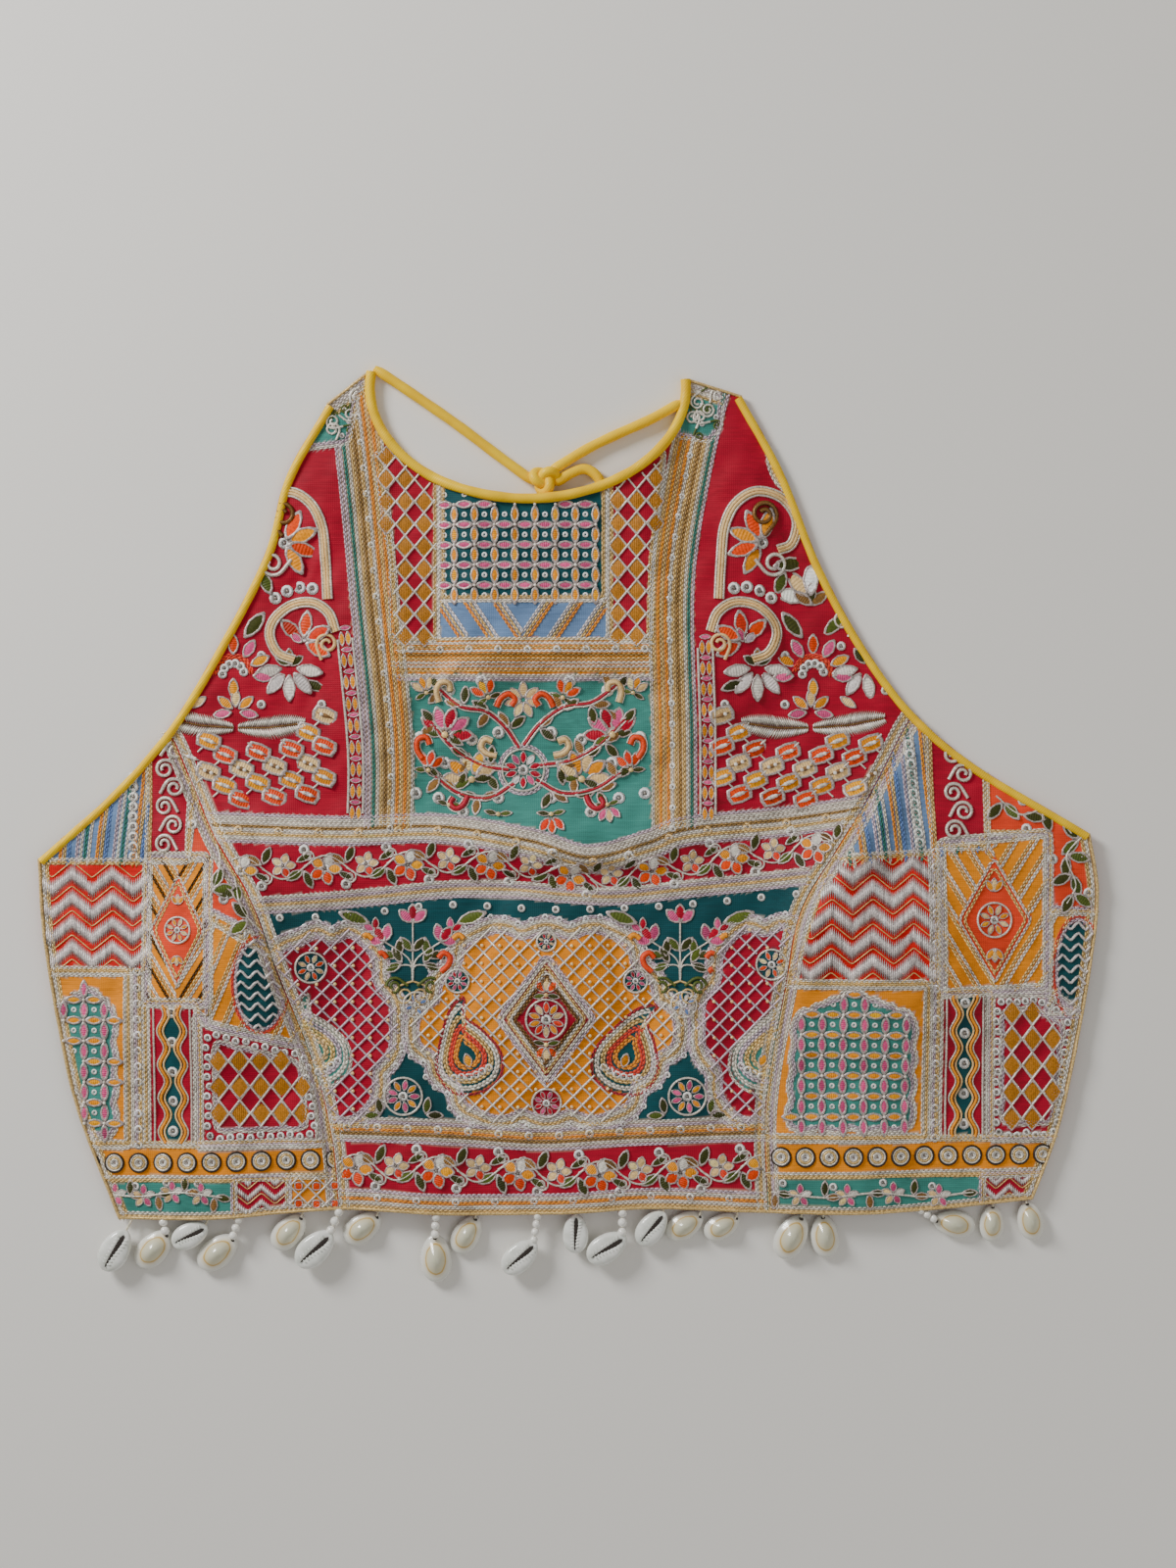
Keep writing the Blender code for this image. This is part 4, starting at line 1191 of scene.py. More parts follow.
# %% Teal panel with its spray of flowers
foot = beside(WAIST_UPPER, 4.0)
foot = foot[(foot[:, 0] > -72) & (foot[:, 0] < 40)]
patch("centre", np.vstack([foot, [(40, 152), (-74, 152)]]), "teal", ())
# The sprays end a little further inside than the ground does
foot = beside(WAIST_UPPER, 7.0)[(WAIST_UPPER[:, 0] > -72) & (WAIST_UPPER[:, 0] < 38)]
meadow = [np.vstack([foot, [(37, 152), (-71, 152)]]), *centre]
ROOT = np.array([-18.0, 111.0])
for side, reach in ((-1, 0.88), (1, 1.0)):
    def set_out(x, y, turn):
        """A place and a direction beside the root, turned over and drawn in on the left."""
        return ROOT + (side * reach * x, y), turn if side > 0 else math.pi - turn

    for route in (
        [(1, 10), (8, 19), (18, 26), (30, 28), (41, 36)],
        [(7, 1), (20, 3), (33, 10), (44, 21)],
        [(5, -5), (17, -11), (31, -9), (42, -2)],
    ):
        stem = placed(np.array(route, float) * (side * reach, 1), ROOT)
        stem = leafy(stem, 9.0, meadow, ("olive", "old_gold"), (0.2, 0.45, 0.7, 0.95))
        couch("crimson", beside(stem, 1.0), 1.1, meadow)
        couch("silver", beside(stem, 1.95), 0.7, meadow)
    for x, y, turn, tints, size in (
        (38, 15, 1.9, ("crimson", "pink", "crimson", "pink", "crimson"), 13),
        (25, -4, 1.3, ("cream", "yellow", "cream", "yellow", "cream"), 13.5),
        (17, 31, 1.1, ("orange", "yellow", "orange"), 9), (46, 0, 1.8, ("orange", "coral", "orange"), 9),
        (47, 33, 1.2, ("cream", "yellow", "cream"), 8), (12, -19, -1.5, ("coral", "orange", "coral"), 9),
        (36, -15, -1.4, ("pink", "cream", "pink"), 8),
    ):
        flower(*set_out(x, y, turn), size, tints, meadow)
    for x, y, turn, tint, size in (
        (13, 27, 2.0, "orange", 8.5), (49, 5, 1.0, "orange", 9), (41, 29, 1.3, "cream", 9),
        (27, -11, -1.2, "crimson", 8), (13, 6, 0.2, "cream", 8.5),
    ):
        hook(*set_out(x, y, turn), size, tint, meadow, side)
    spangles(placed([(side * reach * x, y) for x, y in (
        (12, 16), (25, 13), (38, 3), (50, 14), (20, 38), (36, 34), (12, -12), (41, -12), (29, -18), (52, -10),
    )], ROOT), 2.7, meadow)
rosette(ROOT, 9.0, 10, ("crimson", "frost", "crimson", "pink", "crimson"), meadow)
chain(around(placed(CIRCLE, ROOT, 0, 10.4)), ["lilac"], meadow, width=1.8)
fan((-18, 141), math.pi / 2, ("cream",) * 7, 309, 4.6, (3.9, 2.0), meadow)

# %% Crimson fields beside the braids
# Both fields use these tables. Places are measured outwards from the braid
SCROLLS = [
    [(30, 205), (36, 208), (38, 218), (32, 227), (21, 230), (12, 225), (7, 215), (5.5, 201), (4.5, 184)],
    [(1, 170), (4, 178), (11, 182.5), (20, 181.5), (27, 176), (29.5, 169), (26, 161), (19, 158)],
]
SCROLL_CORDS = [(-1.8, "silver", 1.1), (-0.6, "cream", 1.5), (0.6, "cream", 1.5), (1.8, "silver", 1.1)]
FIELD_CURLS = [
    # place, direction, size, thread, width
    ((24, 211), 0.9, 14, "old_gold", 2.0), ((20, 201), -0.9, 13, "silver", 1.7),
    ((7, 158), 1.2, 11, "cream", 1.5), ((52, 192), 0.9, 11, "silver", 1.2),
    ((60, 168), 1.2, 11, "silver", 1.2),
]
LOTUS = (45, 152)
FIELD_FANS = [
    # place, direction, tints, spread, reach, petal
    ((23, 208), 2.75, ("yellow", "orange", "yellow", "orange", "yellow"), 165, 8.5, (7.4, 3.3)),
    ((15, 166), 2.2, ("orange", "coral", "orange", "coral"), 165, 7.4, (6.4, 3.2)),
    ((15, 165), 1.3, ("lilac", "pink"), 70, 3.8, (3.4, 1.9)),
    ((44, 184), 1.57, ("silver", "cream", "frost", "cream", "silver"), 160, 8.4, (7.4, 3.6)),
    ((44, 182), 1.57, ("old_gold", "olive", "old_gold"), 110, 4.2, (5.2, 2.6)),
    ((21, 155), -1.57, ("silver", "frost", "silver", "frost", "silver"), 160, 9.0, (6.2, 2.9)),
    ((21, 156), 1.57, ("olive", "old_gold", "olive"), 120, 3.4, (4.0, 2.1)),
    ((67, 155), -1.75, ("silver", "frost", "silver", "frost"), 135, 8.6, (6.0, 2.8)),
    ((67, 157), 1.5, ("old_gold", "olive"), 80, 3.4, (4.4, 2.2)),
    ((44, 136), 1.57, ("pink", "yellow", "cream", "yellow", "pink"), 200, 5.8, (4.4, 2.2)),
    ((35, 199), 3.3, ("olive",), 0, 0, (8.2, 3.3)), ((31, 191), 1.2, ("green",), 0, 0, (5.6, 2.8)),
    ((36, 173), -0.9, ("olive",), 0, 0, (7.4, 3.2)), ((54, 173), 0.8, ("green",), 0, 0, (6.6, 2.8)),
    ((60, 177), 1.9, ("old_gold",), 0, 0, (5.0, 2.2)), ((10, 147), 0.4, ("olive",), 0, 0, (5.4, 2.4)),
    ((60, 140), -0.6, ("cream",), 0, 0, (4.4, 2.0)),
    (LOTUS, 1.57, ("pink", "yellow", "pink", "orange", "pink", "yellow", "pink"), 190, 12.8, (4.8, 2.5)),
    ((45, 151), -1.57, ("yellow",), 0, 5.0, (4.6, 2.4)),
]
LARGE_SEQUINS = [(11, 188.5), (16.5, 189), (22, 187.5), (27, 184.5), (23, 208)]
SMALL_SEQUINS = [(48, 200), (55, 184), (33, 160), (57, 164), (76, 145), (7, 139), (33, 139), (72, 160)]
TILED_FIELD = [
    (84, 101), (40, 98), (5, 97), (5, 138), (15, 135), (23, 125), (64, 124), (75, 128), (92, 130),
]
for side, inner_x, braid in ((-1, -97, BRAID_LEFT), (1, 61, BRAID_RIGHT)):
    def at(places):
        """One place or many, as they lie in this field."""
        return np.array(places, float) * (side, 1) + (inner_x, 0)

    def aim(turn):
        """A direction, turned over for the left field."""
        return turn if side > 0 else math.pi - turn

    for scroll in SCROLLS:
        for offset, thread, width in SCROLL_CORDS:
            couch(thread, beside(smooth_line(at(scroll)), offset), width, centre)
    for place, turn, size, thread, width in FIELD_CURLS:
        curl(at(place), aim(turn), size, thread, centre, side, width)
    for place, turn, tints, spread, reach, petal in FIELD_FANS:
        fan(at(place), aim(turn), tints, spread, reach, petal, centre)
    for radius, thread in ((8.4, "coral"), (7.2, "orange")):
        chain(placed(CIRCLE[:17], at(LOTUS), 0, radius), [thread], centre, width=1.4)
    spangles(placed(CIRCLE[1:17:3], at(LOTUS), 0, 4.6), 2.0, centre)
    plume(at([(45, 129), (59, 130), (75, 133)]), 5.4, centre)
    plume(at([(43, 129), (30, 129), (15, 131)]), 5.4, centre)
    spangles(at(LARGE_SEQUINS), 2.7, centre)
    spangles(at(SMALL_SEQUINS), 2.0, centre)
    tiled([at(TILED_FIELD), *centre], aim(0.36), side)
    # A narrow braid of bars along the foot of the long one
    rail = beside(braid, -side * 14.3)
    rail = rail[(rail[:, 1] > 92) & (rail[:, 1] < 168)]
    for offset in (-3.2, 3.2):
        couch("silver", beside(rail, offset), 1.1, centre)
    rungs = dense(rail, 9.4)
    for offset in (-1.4, 1.4):
        press("petal", beside(rungs, offset), headings(rungs), (3.4, 1.3, 0.7), "yellow", centre)
    press("petal", rungs + (0, 4.7), headings(rungs) + math.pi / 2, (2.7, 1.2, 0.7), "pink", centre)
disc = placed(CIRCLE[:-1] * (6, 11), (95, 240), 0.45)
grounds["centre"].append((disc, "light_blue", ()))
chain(around(disc), ("silver", "cream", "silver"), centre, width=1.4)

# %% [markdown]
# ## Centre front: the patchwork below the waist
# The lower front is a patchwork of hexagons on dark teal. Six-sided patches are a common quilt shape.
# Each has a scalloped braid, a net of couched cord inside it, and rosettes, a medallion or paisleys.

# %% Hexagon patches
BELOW = smooth_line([(-150, 52), (-104, 52), (-80, 54), (-50, 57), (0, 55), (50, 57), (100, 62), (112, 64)])
keep_out = np.vstack([BELOW, [(112, -42), (-150, -42)]])
patch("centre", keep_out + (0, 2.5), "dark_teal", ())


def scalloped(corners, depth, count):
    """A patch outline whose edges are shallow scallops, that many to an edge."""
    points, corners = [], np.array(corners, float)
    for a, b in zip(corners, np.roll(corners, -1, axis=0)):
        share = np.linspace(0, 1, 12 * count, endpoint=False)[:, None]
        out = np.array([b[1] - a[1], a[0] - b[0]]) / np.linalg.norm(b - a)
        points.append(a + (b - a) * share + out * (abs(np.sin(math.pi * share * count)) * depth))
    return np.vstack(points)


HEXAGONS = [
    # corners, ground, scallops to an edge
    ([(-66, 0), (-38, -37), (22, -37), (50, 0), (22, 42), (-38, 42)], "mustard", 3),
    ([(-144, 14), (-124, -38), (-86, -38), (-71, 2), (-86, 40), (-112, 40)], "crimson", 2),
    ([(56, 2), (71, -38), (106, -38), (112, 20), (100, 44), (71, 42)], "crimson", 2),
]
MIDDLE = np.array([-8.0, 5.0])
MEDALLION = diamond(MIDDLE, 20, 27)
PAISLEYS = [
    # place, turn, size, ground, rows of chain from the edge inwards
    ((-43, -8), 0.30, 17, "dark_teal", ("silver", "gold", "coral", "yellow")),
    ((27, -8), -0.30, 17, "dark_teal", ("silver", "gold", "coral", "yellow")),
    ((-108, -6), 0.35, 17, "teal", ("silver", "lilac", "gold", "cream")),
    ((86, -8), -0.35, 17, "teal", ("silver", "lilac", "gold", "cream")),
]
BUTTONS = [
    # place, radius, ground, tints
    ((-8, -31), 6.2, "crimson", ("crimson", "pink")), ((-8, 38), 4.0, "dark_teal", ("crimson", "cream")),
    ((-46, 21), 5.0, "dark_teal", ("crimson", "pink")), ((30, 21), 5.0, "dark_teal", ("crimson", "pink")),
    ((-108, 27), 6.5, "dark_teal", ("orange", "cream")), ((88, 28), 6.5, "dark_teal", ("orange", "cream")),
]
NET_CELL, KNOT_GAP = 5.4, 7.64
holes = [outside(placed(DROP_SHAPE * 1.12, place, turn, size)) for place, turn, size, *_ in PAISLEYS]
holes += [outside(placed(CIRCLE[:-1], place, 0, radius + 0.6)) for place, radius, *_ in BUTTONS]
holes.append(outside(MEDALLION))
teal_only = [keep_out]
for corners, ground, count in HEXAGONS:
    outline = scalloped(corners, 3.2, count)
    hexagon = patch("centre", outline, ground, ("lilac", "silver", "gold", "silver", "lilac"), (keep_out,))
    hexagon = [hexagon[0], *holes, *hexagon[1:]]
    teal_only.append(outside(outline))
    lattice(hexagon, NET_CELL, 45, "silver" if ground == "mustard" else "lilac", width=1.0)
    low, high = span(outline)
    net = [low + (i * KNOT_GAP, j * KNOT_GAP) for i in range(30) for j in range(14)]
    press("pearl", net, 0, (0.8, 0.8, 0.7), "cream", hexagon)
    ring_line = (outline - outline.mean(axis=0)) * 1.075 + outline.mean(axis=0)
    sequins(around(ring_line), 6.2, 1.4, "white", [keep_out, *centre])
teal_only += centre

# %% Medallion, paisleys, rosettes and the teal corners
grounds["centre"].append((MEDALLION, "crimson", ()))
for share, tints in ((1.0, ("silver", "lilac")), (0.84, ("gold",)), (0.72, ("old_gold", "silver"))):
    chain(around((MEDALLION - MIDDLE) * share + MIDDLE), tints, centre, lift=0.3)
rosette(MIDDLE, 8.6, 10, ("yellow", "coral", "cream"), centre)
for way in (1, -1):
    flower(MIDDLE + (0, 10.5 * way), way * math.pi / 2, 8.5, ("orange", "cream", "orange"), centre)
for place, turn, size, ground, rows in PAISLEYS:
    grounds["centre"].append((placed(DROP_SHAPE * 1.12, place, turn, size), ground, ()))
    paisley(place, turn, size, centre, rows)
    rim = "crimson" if ground == "dark_teal" else "silver"
    chain(around(placed(DROP_SHAPE * 1.16, place, turn, size)), [rim], centre, width=1.5)
    sequins(placed([(-0.46, -0.62), (0, -0.72), (0.46, -0.62)], place, turn, size), 3.4, 1.8, "white", centre)
for place, radius, ground, tints in BUTTONS:
    grounds["centre"].append((placed(CIRCLE[:-1], place, 0, radius), ground, ()))
    rosette(place, radius, 8, tints, centre)
for x in (-69, 52):
    rosette((x, -28), 8.0, 9, ("pink", "yellow"), teal_only)
    for way in (-1, 1):
        leaf_pair((x + way * 9.5, -36), math.pi / 2 - way * 0.9, 8, teal_only)
for x in (-65, 49):
    spray((x, 21), math.pi / 2, 25, ("pink", "crimson", "pink"), teal_only)
    for way in (-1, 1):
        press("petal", [(x + way * 25, 48)], way * 0.35, (7.5, 2.8, 0.8), "green", teal_only)
        fan((x + way * 16, 42), math.pi / 2 - way * 0.5, ("crimson", "pink"), 60, 3.4, (3.0, 1.7), teal_only)
        curl((x + way * 2, 19), math.pi / 2 - way * 0.9, 9, "green", teal_only, -way, 1.4)
        hook((x + way * 12, 25), math.pi / 2 - way * 0.9, 8, "orange", teal_only, way)
        hook((x + way * 17, 33), math.pi / 2 - way * 1.1, 8, "yellow", teal_only, way)
    rosette((x + 1.5, 11), 5.4, 8, ("blue", "silver"), centre)
sequins(beside(BELOW, -3.5), 15, 1.7, "white", teal_only)
print("lower front done,", sum(len(rows) for rows in pressed["petal"]), "petals so far")

# %% [markdown]
# ## Side fronts
# The side fronts are smaller patches in mustard, red, teal and coral. Each patch keeps one kind of
# work, as a quilt does: zigzags, petal lattices, stripes, lozenges, discs. A braid covers each joint.

# %% Patches that both side fronts have


def river(panel, x, low, high):
    """A waving teal stripe down a crimson patch, edged by cords and set with sequins."""
    corners = [(x - 11, low), (x + 11, low), (x + 11, high), (x - 11, high)]
    block = patch(panel, corners, "crimson", ("silver", "gold"))
    ys = np.arange(low - 2, high + 3, 1.2)
    edges = [np.column_stack([x + side * (3.9 + 1.5 * np.cos(ys / 2.3)), ys]) for side in (-1, 1)]
    grounds[panel].append((np.vstack([edges[0], edges[1][::-1]]), "dark_teal", ()))
    for side, line in zip((-1, 1), edges):
        for offset, thread, width in ((0, "yellow", 1.2), (1.2, "silver", 0.8), (-1.5, "cream", 0.9)):
            couch(thread, line + (side * offset, 0), width, block)
        couch("silver", [(x + side * 8, low), (x + side * 8, high)], 0.9, block)
    sequins([(x, low + 6), (x, high - 4)], 14.5, 2.4, "white", block)


def discs(line, gap, radius, area):
    """Round discs of couched thread with a sequin on each."""
    spots = dense(line, gap)
    for spot in spots:
        for share, thread in ((1.0, "umber"), (0.86, "silver"), (0.64, "gold"), (0.42, "silver")):
            couch(thread, placed(CIRCLE, spot, 0, radius * share), 1.1, area)
    spangles(spots, radius * 0.4, area)


def pane(panel, corners, inner):
    """A crimson patch with a scalloped frame of ring sequins round a lattice of diamonds."""
    block = patch(panel, corners, "crimson", ("silver", "lilac", "silver"))
    middle = np.mean(inner, axis=0)
    frame_line = scalloped(inner, 1.2, 4)
    lattice([frame_line, AREA[panel]], 7.2, 52, "silver", ("ochre", None), "diamond", (4.2, 5.4))
    chain(around(frame_line), ("lilac", "silver"), block, width=1.3)
    sequins(around((frame_line - middle) * 1.17 + middle), 4.4, 1.7, "white", block)


SIDE_FRONTS = {
    # Places in millimetres. Stripes and blocks give their slopes in degrees
    "left": {
        "stripes": ([(-230, 71), (-176, 71), (-165, 118), (-190, 112)], 84, [(-184, 74), (-185, 108)]),
        "spirals": ([(-178, 72), (-160, 72), (-156, 130), (-178, 124)], (-169, 77)),
        "zigzag": [(-228, 25), (-178, 25), (-178, 72), (-228, 72)],
        "frame": ([(-226, -49), (-186, -49), (-186, 25), (-226, 25)],
                  [(-214, -44), (-193, -44), (-193, 8), (-203, 17), (-219, 8)]),
        "post": [(-182, 25), (-182, -49)],
        "block": ([(-178, 12), (-151, 12), (-151, 74), (-178, 74)], (-164.5, 43, 12, 24)),
        "coral": ([(-160, 118), (-160, 74), (-151, 74), (-151, 48), (-112, 26), (-120, 118)],
                  [[(-150, 56), (-146, 72), (-152, 88), (-158, 100)], [(-126, 40), (-136, 52), (-140, 66)]]),
        "banded": ([(-151, 3), (-106, -8), (-112, 34), (-151, 52)], (-129, 20, 11, 20)),
        "river": (-167, -49, 12),
        "pane": ([(-156, -49), (-104, -48), (-106, -8), (-151, 3), (-156, 8)],
                 [(-148, -42), (-111, -41), (-114, -14), (-148, -5)]),
        "discs": ([(-212, -64), (-94, -62), (-94, -48), (-210, -49)], [(-203, -57), (-98, -55)]),
        "garden": ([(-206, -86), (-141, -86), (-141, -64), (-206, -64)],
                   [(-200, -70), (-182, -71), (-164, -69), (-146, -71)]),
        "chevrons": [(-141, -86), (-118, -86), (-118, -63), (-141, -63)],
    },
    "right": {
        "stripes": ([(118, 70), (180, 76), (178, 122), (140, 136)], 96, [(151, 80), (147, 122)]),
        "spirals": ([(157, 78), (180, 78), (180, 122), (155, 130)], (168, 83)),
        "zigzag": [(95, 20), (158, 20), (158, 76), (112, 74)],
        "frame": ([(84, -46), (154, -46), (154, 20), (92, 20)],
                  [(96, -41), (147, -41), (147, 6), (122, 16), (99, 6)]),
        "post": [(157.5, 76), (157.5, -46)],
        "block": ([(160, 16), (206, 18), (206, 84), (160, 80)], (183, 47, 16, 27)),
        "coral": ([(180, 130), (180, 84), (206, 84), (206, 50), (232, 50), (232, 96)],
                  [[(184, 100), (194, 92), (206, 94), (216, 84)],
                   [(222, 84), (214, 74), (218, 62), (214, 54)]]),
        "banded": ([(206, 6), (232, 6), (232, 50), (206, 52)], (219, 26, 10, 22)),
        "river": (170, -46, 16),
        "pane": ([(181, -46), (216, -46), (222, 6), (206, 16), (181, 16)],
                 [(187, -39), (207, -39), (212, 2), (200, 9), (187, 8)]),
        "discs": ([(84, -62), (212, -60), (214, -46), (84, -46)], [(92, -54), (204, -53)]),
        "garden": ([(84, -86), (178, -86), (178, -62), (84, -62)],
                   [(88, -69), (110, -71), (132, -69), (154, -71), (174, -69)]),
        "chevrons": [(178, -86), (212, -86), (212, -61), (178, -62)],
    },
}
for panel, places in SIDE_FRONTS.items():
    whole = [AREA[panel]]
    corners, slope, row = places["stripes"]
    spirals, first = places["spirals"]
    ends = np.array(spirals, float)
    tops = patch(panel, corners, "light_blue", ())
    tops = [tops[0], outside(ends), *tops[1:]]
    stripes(tops, slope, ("silver", "lilac", None, "blue", "gold", "yellow", None, "silver", "teal"), 1.75)
    sequins(row, 4.4, 2.3, "white", tops)
    spirals = patch(panel, spirals, "crimson", ("gold", "silver"))
    for k in range(6):
        way = (-1) ** k
        curl((first[0] + 4 * way, first[1] + 8 * k), math.pi / 2 + 0.5 * way, 10, "silver", spirals, way, 1.5)
    zigzags(patch(panel, places["zigzag"], "red", ("gold", "silver")), 10.4, 17.5, 7.0, 4.5)
    frame_corners, inner = places["frame"]
    patch(panel, frame_corners, "mustard", ("silver", "gold", "silver"))
    petal_grid(patch(panel, scalloped(inner, 1.7, 4), "teal", ("lilac", "silver")), 8.8, "pink", "yellow")
    chain(places["post"], ("silver", "gold", "lilac", "silver"), whole)
    sequins(places["post"], 6.5, 1.9, "white", whole)

    corners, (x, y, half_width, half_height) = places["block"]
    block = patch(panel, corners, "mustard", ("silver", "lilac", "silver"))
    hollow = outside(diamond((x, y), half_width, half_height))
    rows = ("silver", "gold", "bronze" if panel == "left" else None, None)
    for half in (-1, 1):
        flank = np.array([(x, -100), (x + 60 * half, -100), (x + 60 * half, 100), (x, 100)], float)
        stripes([block[0], flank, hollow, *block[1:]], 90 - half * 32, rows, 1.75)
    lozenge(panel, (x, y), half_width, half_height, block, "coral", ("yellow", "cream"))
    corners, routes = places["coral"]
    coral = patch(panel, corners, "coral", ("gold", "silver"))
    for route in routes:
        stem = leafy(route, 10.5, coral, ("olive", "green"), (0.1, 0.35, 0.6, 0.85))
        spangles(at_share(beside(stem, 6.0), [0.25, 0.75]), 2.3, coral)
        spangles(at_share(beside(stem, -6.0), [0.5]), 2.3, coral)
    corners, (x, y, half_width, half_height) = places["banded"]
    banded = patch(panel, corners, "mustard", ("silver", "lilac"))
    leaf_shape = placed(CIRCLE[:-1] * (half_width, half_height), (x, y))
    stripes([banded[0], outside(leaf_shape), *banded[1:]], 66, ("silver", "gold", None, None), 1.8)
    grounds[panel].append((leaf_shape, "dark_teal", ()))
    for k in range(-5, 6):
        wave = [(x - half_width + 3.3 * i, y + 4.6 * k + (1.8 if i % 2 else -1.8)) for i in range(9)]
        couch("frost", wave, 1.3, [leaf_shape, *banded])
    chain(around(leaf_shape), ("lilac", "coral"), banded, width=1.4)

    river(panel, *places["river"])
    pane(panel, *places["pane"])
    corners, line = places["discs"]
    discs(line, 10.4, 3.9, patch(panel, corners, "mustard", ("silver", "gold")))
    corners, route = places["garden"]
    garden = patch(panel, corners, "teal", ("gold",))
    stem = leafy(route, 7.5, garden, ("old_gold", "olive"), (0.02, 0.26, 0.48, 0.7, 0.94))
    for share in (0.14, 0.37, 0.6, 0.83):
        blossom = at_share(stem, [share])[0]
        fan(blossom, 0.3, ("cream", "pink", "silver", "pink", "cream"), 288, 2.9, (2.5, 1.6), garden)
    spangles(at_share(beside(stem, 4.4), [0.05, 0.3, 0.55, 0.8]), 1.8, garden)
    zigzags(patch(panel, places["chevrons"], "crimson", ("silver", "lilac")), 6.4, 11.5, 5.0, 1.9)
    print(panel, "side front laid out,", len(grounds[panel]), "patches")

# %% Braids along the edges and the seams
corner = patch("left", [(-118, -86), (-94, -86), (-94, -62), (-118, -62)], "mustard", ("silver", "gold"))
lattice(corner, 5.4, 45, "silver", ("orange", None), "pad", (1.9, 1.9))
left, right = [AREA["left"]], [AREA["right"]]
for line, offset, tints, area in (
    (hem_left, 1.6, ("silver", "gold"), left), (hem_right, 1.6, ("silver", "gold"), right),
    (side_left, -2.1, ("gold", "silver", "gold"), left), (side_right, 2.1, ("gold", "silver", "gold"), right),
    (lower_left, -2.6, ("yellow", "silver"), left), (lower_right, 2.6, ("yellow", "silver"), right),
    (seam_left, 2.6, ("silver", "lilac", "gold"), left),
    (seam_right, -2.6, ("gold", "lilac", "silver"), right),
    (seam_left, -2.6, ("silver", "gold", "silver"), centre),
    (seam_right, 2.6, ("silver", "gold", "silver"), centre),
    (upper_left, -2.4, ("yellow", "silver"), centre), (upper_right, 2.4, ("yellow", "silver"), centre),
    (neckline(0), 4.0, ("silver", "gold"), centre),
    (STRAP_TOPS[0], -3.2, ("silver", "frost", "silver", "gold"), centre),
    (STRAP_TOPS[1] - (3, -1), 3.2, ("gold", "silver", "frost", "silver"), [STRAP_ENDS[1], *centre]),
):
    chain(beside(np.array(line, float), offset), tints, area)
# A whipped cord closes every cut edge that has no piping
for line, way in ((hem, 1), (side_left, -1), (side_right, 1), (STRAP_TOPS[0], -1), (STRAP_TOPS[1], 1)):
    couch("gold", beside(line, way * 0.35), 1.3)
print("stamps", {name: sum(len(rows) for rows in sets) for name, sets in pressed.items()})

# %% [markdown]
# ## Laying it all on the cloth
# The embroidery was planned flat. Now each stamp gets the height and the tilt of the cloth below it,
# from the slope of the skin function. Geometry Nodes sets the templates on the points and makes them
# real, and the result is kept as a plain mesh, so that it can be measured and exported.

# %% Slope of the cloth


def normals(x, y, reach=0.6):
    """Unit vectors that stand square on the cloth."""
    along = (skin(x + reach, y) - skin(x - reach, y)) / (2 * reach)
    across = (skin(x, y + reach) - skin(x, y - reach)) / (2 * reach)
    upright = np.column_stack([-along, -across, np.ones_like(along)])
    return upright / np.linalg.norm(upright, axis=1)[:, None]


def tilts(normal, turn):
    """Euler angles that turn a stamp about its own axis and then lean it with the cloth."""
    c, s = np.cos(turn), np.sin(turn)
    x = normal[:, 0] * c + normal[:, 1] * s
    y = normal[:, 1] * c - normal[:, 0] * s
    return np.column_stack([-np.arcsin(np.clip(y, -1, 1)), np.arctan2(x, normal[:, 2]), turn])


# %% Instance on points, made real
def stamp_tree(form):
    """Nodes that set the form on every point, turned and sized by the point's own values."""
    tree = bpy.data.node_groups.new(form.name + "_stamp", "GeometryNodeTree")
    tree.interface.new_socket("Geometry", in_out="INPUT", socket_type="NodeSocketGeometry")
    tree.interface.new_socket("Geometry", in_out="OUTPUT", socket_type="NodeSocketGeometry")
    source = add(tree, "NodeGroupInput")
    turn = add(tree, "GeometryNodeInputNamedAttribute", {"Name": "turn"}, data_type="FLOAT_VECTOR")
    size = add(tree, "GeometryNodeInputNamedAttribute", {"Name": "size"}, data_type="FLOAT_VECTOR")
    rotation = add(tree, "FunctionNodeEulerToRotation", {0: turn.outputs["Attribute"]})
    shape = add(tree, "GeometryNodeObjectInfo", {"Object": form})
    laid_out = add(tree, "GeometryNodeInstanceOnPoints", {
        "Points": source.outputs[0], "Instance": shape.outputs["Geometry"],
        "Rotation": rotation.outputs[0], "Scale": size.outputs["Attribute"],
    })
    real = add(tree, "GeometryNodeRealizeInstances", {"Geometry": laid_out.outputs[0]})
    add(tree, "NodeGroupOutput", {0: real.outputs[0]})
    return tree


